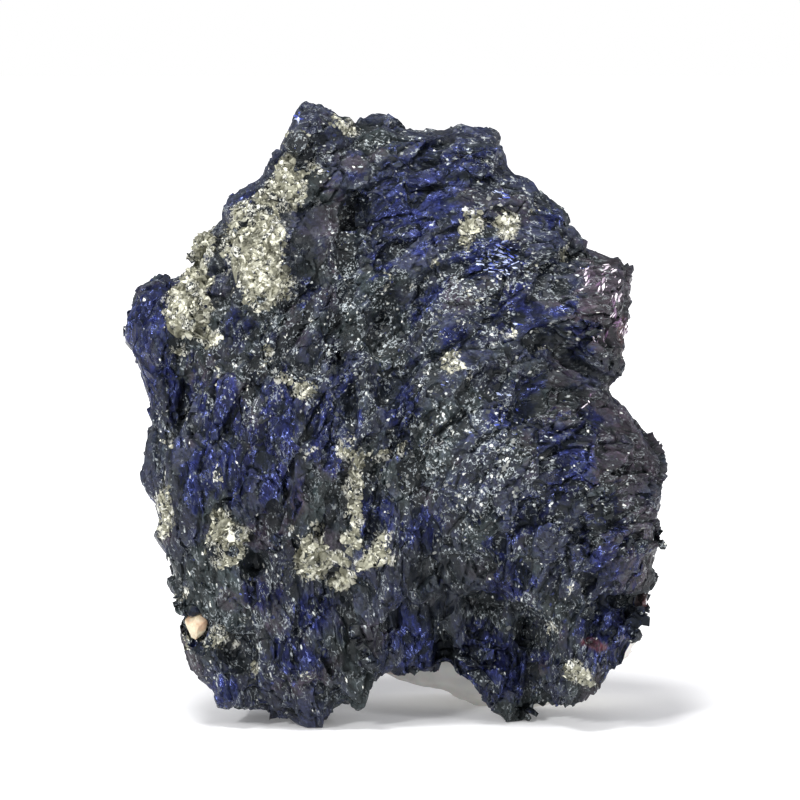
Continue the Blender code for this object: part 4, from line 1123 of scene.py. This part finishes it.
def makeQuartz():
    chip = copyNodes("quartz_chip_polished", ["pink_quartz_chip"], 0.10)
    shape = bmesh.new()
    shape.from_mesh(chip.data)
    for vert in shape.verts:
        vert.co.x += quartz["inward"] * mm
    middle = sum((v.co for v in shape.verts), Vector()) / len(shape.verts)
    rng = np.random.default_rng(quartz["seed"])
    for _ in range(quartz["cuts"]):
        way = Vector(rng.normal(size=3)).normalized()
        reach = max((v.co - middle).dot(way) for v in shape.verts) * rng.uniform(*quartz["cutAt"])
        everything = [*shape.verts, *shape.edges, *shape.faces]
        bmesh.ops.bisect_plane(shape, geom=everything, plane_co=middle + way * reach, plane_no=way,
                               clear_outer=True)
        bmesh.ops.contextual_create(shape, geom=[e for e in shape.edges if e.is_boundary])
    bmesh.ops.dissolve_limit(shape, angle_limit=0.02, verts=shape.verts, edges=shape.edges)
    shape.to_mesh(chip.data)
    shape.free()
    mod = chip.modifiers.new("edges", "BEVEL")
    mod.width = quartz["edgeWidth"] * mm
    mod.segments = 2
    mod.limit_method = "ANGLE"
    mod.angle_limit = math.radians(20)
    bakeModifiers(chip)
    for face in chip.data.polygons:
        face.use_smooth = False
    chip.data.materials.clear()
    chip.data.materials.append(quartzMaterial())
    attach(chip, "root")
    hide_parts("pink_quartz_chip")
    print("quartz chip ready")


makeQuartz()


putty = {
    "skinStep": 0.34,
    "dents": [(1.6, 0.30, 14), (0.55, 0.07, 15)],    # size, depth, seed
    "white": (0.80, 0.79, 0.75),
    "grime": (0.52, 0.50, 0.46),
}


def puttyMaterial():
    p = putty
    material, kit = newMaterial("putty")
    place = kit.place()
    smear, fine = kit.noise(place, 260.0, 4.0, 0.6), kit.noise(place, 2400.0, 4.0, 0.6)
    dirt = kit.times(kit.between(smear, 0.48, 0.75), 0.45)
    kit.finish({
        "Base Color": kit.mix(dirt, p["white"], p["grime"]),
        "Roughness": kit.plus(0.55, kit.times(fine, 0.2)),
        "Subsurface Weight": 0.15,
        "Subsurface Scale": 0.0008,
        "Normal": kit.bump(fine, 0.35, 0.0001),
    })
    return material


def makePutty():
    lump = reskin(copyNodes("putty_pressed", ["putty_support"], 0.2), putty["skinStep"])
    edges = getEdges(lump.data)
    points, normals = relax(edges, getPoints(lump.data), 4), getNormals(lump.data)
    height = np.zeros(len(points))
    for size, deep, seed in putty["dents"]:
        height -= deep * ease(0.45, 0.75, drift(points / size, seed))
    points += normals * (height * ease(0.0, 0.8, points[:, 2]))[:, None]
    points = relax(edges, points, 2)
    points[:, 2] = np.maximum(points[:, 2], 0.0)
    setPoints(lump.data, points)
    lump.data.materials.clear()
    lump.data.materials.append(puttyMaterial())
    for face in lump.data.polygons:
        face.use_smooth = True
    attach(lump, "root")
    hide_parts("putty_support")
    print("putty ready", len(lump.data.polygons), "faces")


makePutty()


# floor, light and camera

studio = {
    "floorSize": 3.0,
    "floorTone": (0.93, 0.93, 0.935),
    "aim": (0.0006, 0.0, 0.0312),
    "elevation": 6.0,
    "distance": 0.5,
    "frameWidth": 0.0780,        # what the picture takes in at the stone, in metres
    "lights": [
        # name, place, size, watts
        ("overhead", (-0.10, -0.20, 0.60), 0.16, 3.6),
        ("frontLeft", (-0.36, -0.50, 0.34), 0.10, 2.4),
        ("frontRight", (0.44, -0.40, 0.26), 0.10, 1.1),
    ],
    "floorGlow": (0.13, 0.62),         # beside the stone and far from it, which keeps the far floor white
    "glowFrom": (0.035, 0.22),         # from the stone's middle, in metres
    "surround": (0.54, 0.54, 0.56),    # what lights the stone from all round
    "mirrored": (0.26, 0.27, 0.29),    # what its bright faces show
}


def makeFloor():
    half = studio["floorSize"] / 2
    shape = bmesh.new()
    bmesh.ops.create_grid(shape, x_segments=1, y_segments=1, size=half)
    mesh = bpy.data.meshes.new("floor")
    shape.to_mesh(mesh)
    shape.free()
    floor = linkNew("floor", mesh)
    material, kit = newMaterial("paleFloor")
    away = kit.add("VectorMath", {0: kit.place()}, operation="LENGTH").outputs["Value"]
    near, far = studio["floorGlow"]
    glow = kit.plus(near, kit.times(kit.between(away, *studio["glowFrom"]), far - near))
    kit.finish({"Base Color": studio["floorTone"], "Roughness": 0.8, "Specular IOR Level": 0.1,
                "Emission Color": (1.0, 1.0, 1.0), "Emission Strength": glow})
    mesh.materials.append(material)


def aimAt(obj, place, target):
    obj.location = place
    obj.rotation_euler = (Vector(target) - Vector(place)).to_track_quat("-Z", "Y").to_euler()


def makeStudio():
    makeFloor()
    for name, place, size, watts in studio["lights"]:
        light = bpy.data.lights.new(name, "AREA")
        light.shape = "SQUARE"
        light.size = size
        light.energy = watts
        lamp = linkNew(name, light)
        aimAt(lamp, place, studio["aim"])
    world = bpy.data.worlds.new("surround")
    bpy.context.scene.world = world
    world.use_nodes = True
    kit = Kit(world.node_tree)
    ray = kit.add("LightPath", {}).outputs
    tone = kit.mix(ray["Is Glossy Ray"], studio["surround"], studio["mirrored"])
    tone = kit.mix(ray["Is Camera Ray"], tone, (1.0, 1.0, 1.0))
    kit.feed(world.node_tree.nodes["Background"].inputs["Color"], tone)
    scene = bpy.context.scene
    scene.view_settings.view_transform = "Standard"
    camera = linkNew("camera", bpy.data.cameras.new("camera"))
    rise = math.radians(studio["elevation"])
    aim = Vector(studio["aim"])
    place = aim + studio["distance"] * Vector((0.0, -math.cos(rise), math.sin(rise)))
    aimAt(camera, place, aim)
    camera.data.lens = camera.data.sensor_width * studio["distance"] / studio["frameWidth"]
    camera.data.clip_start = 0.01
    scene.camera = camera


makeStudio()
print("studio ready")
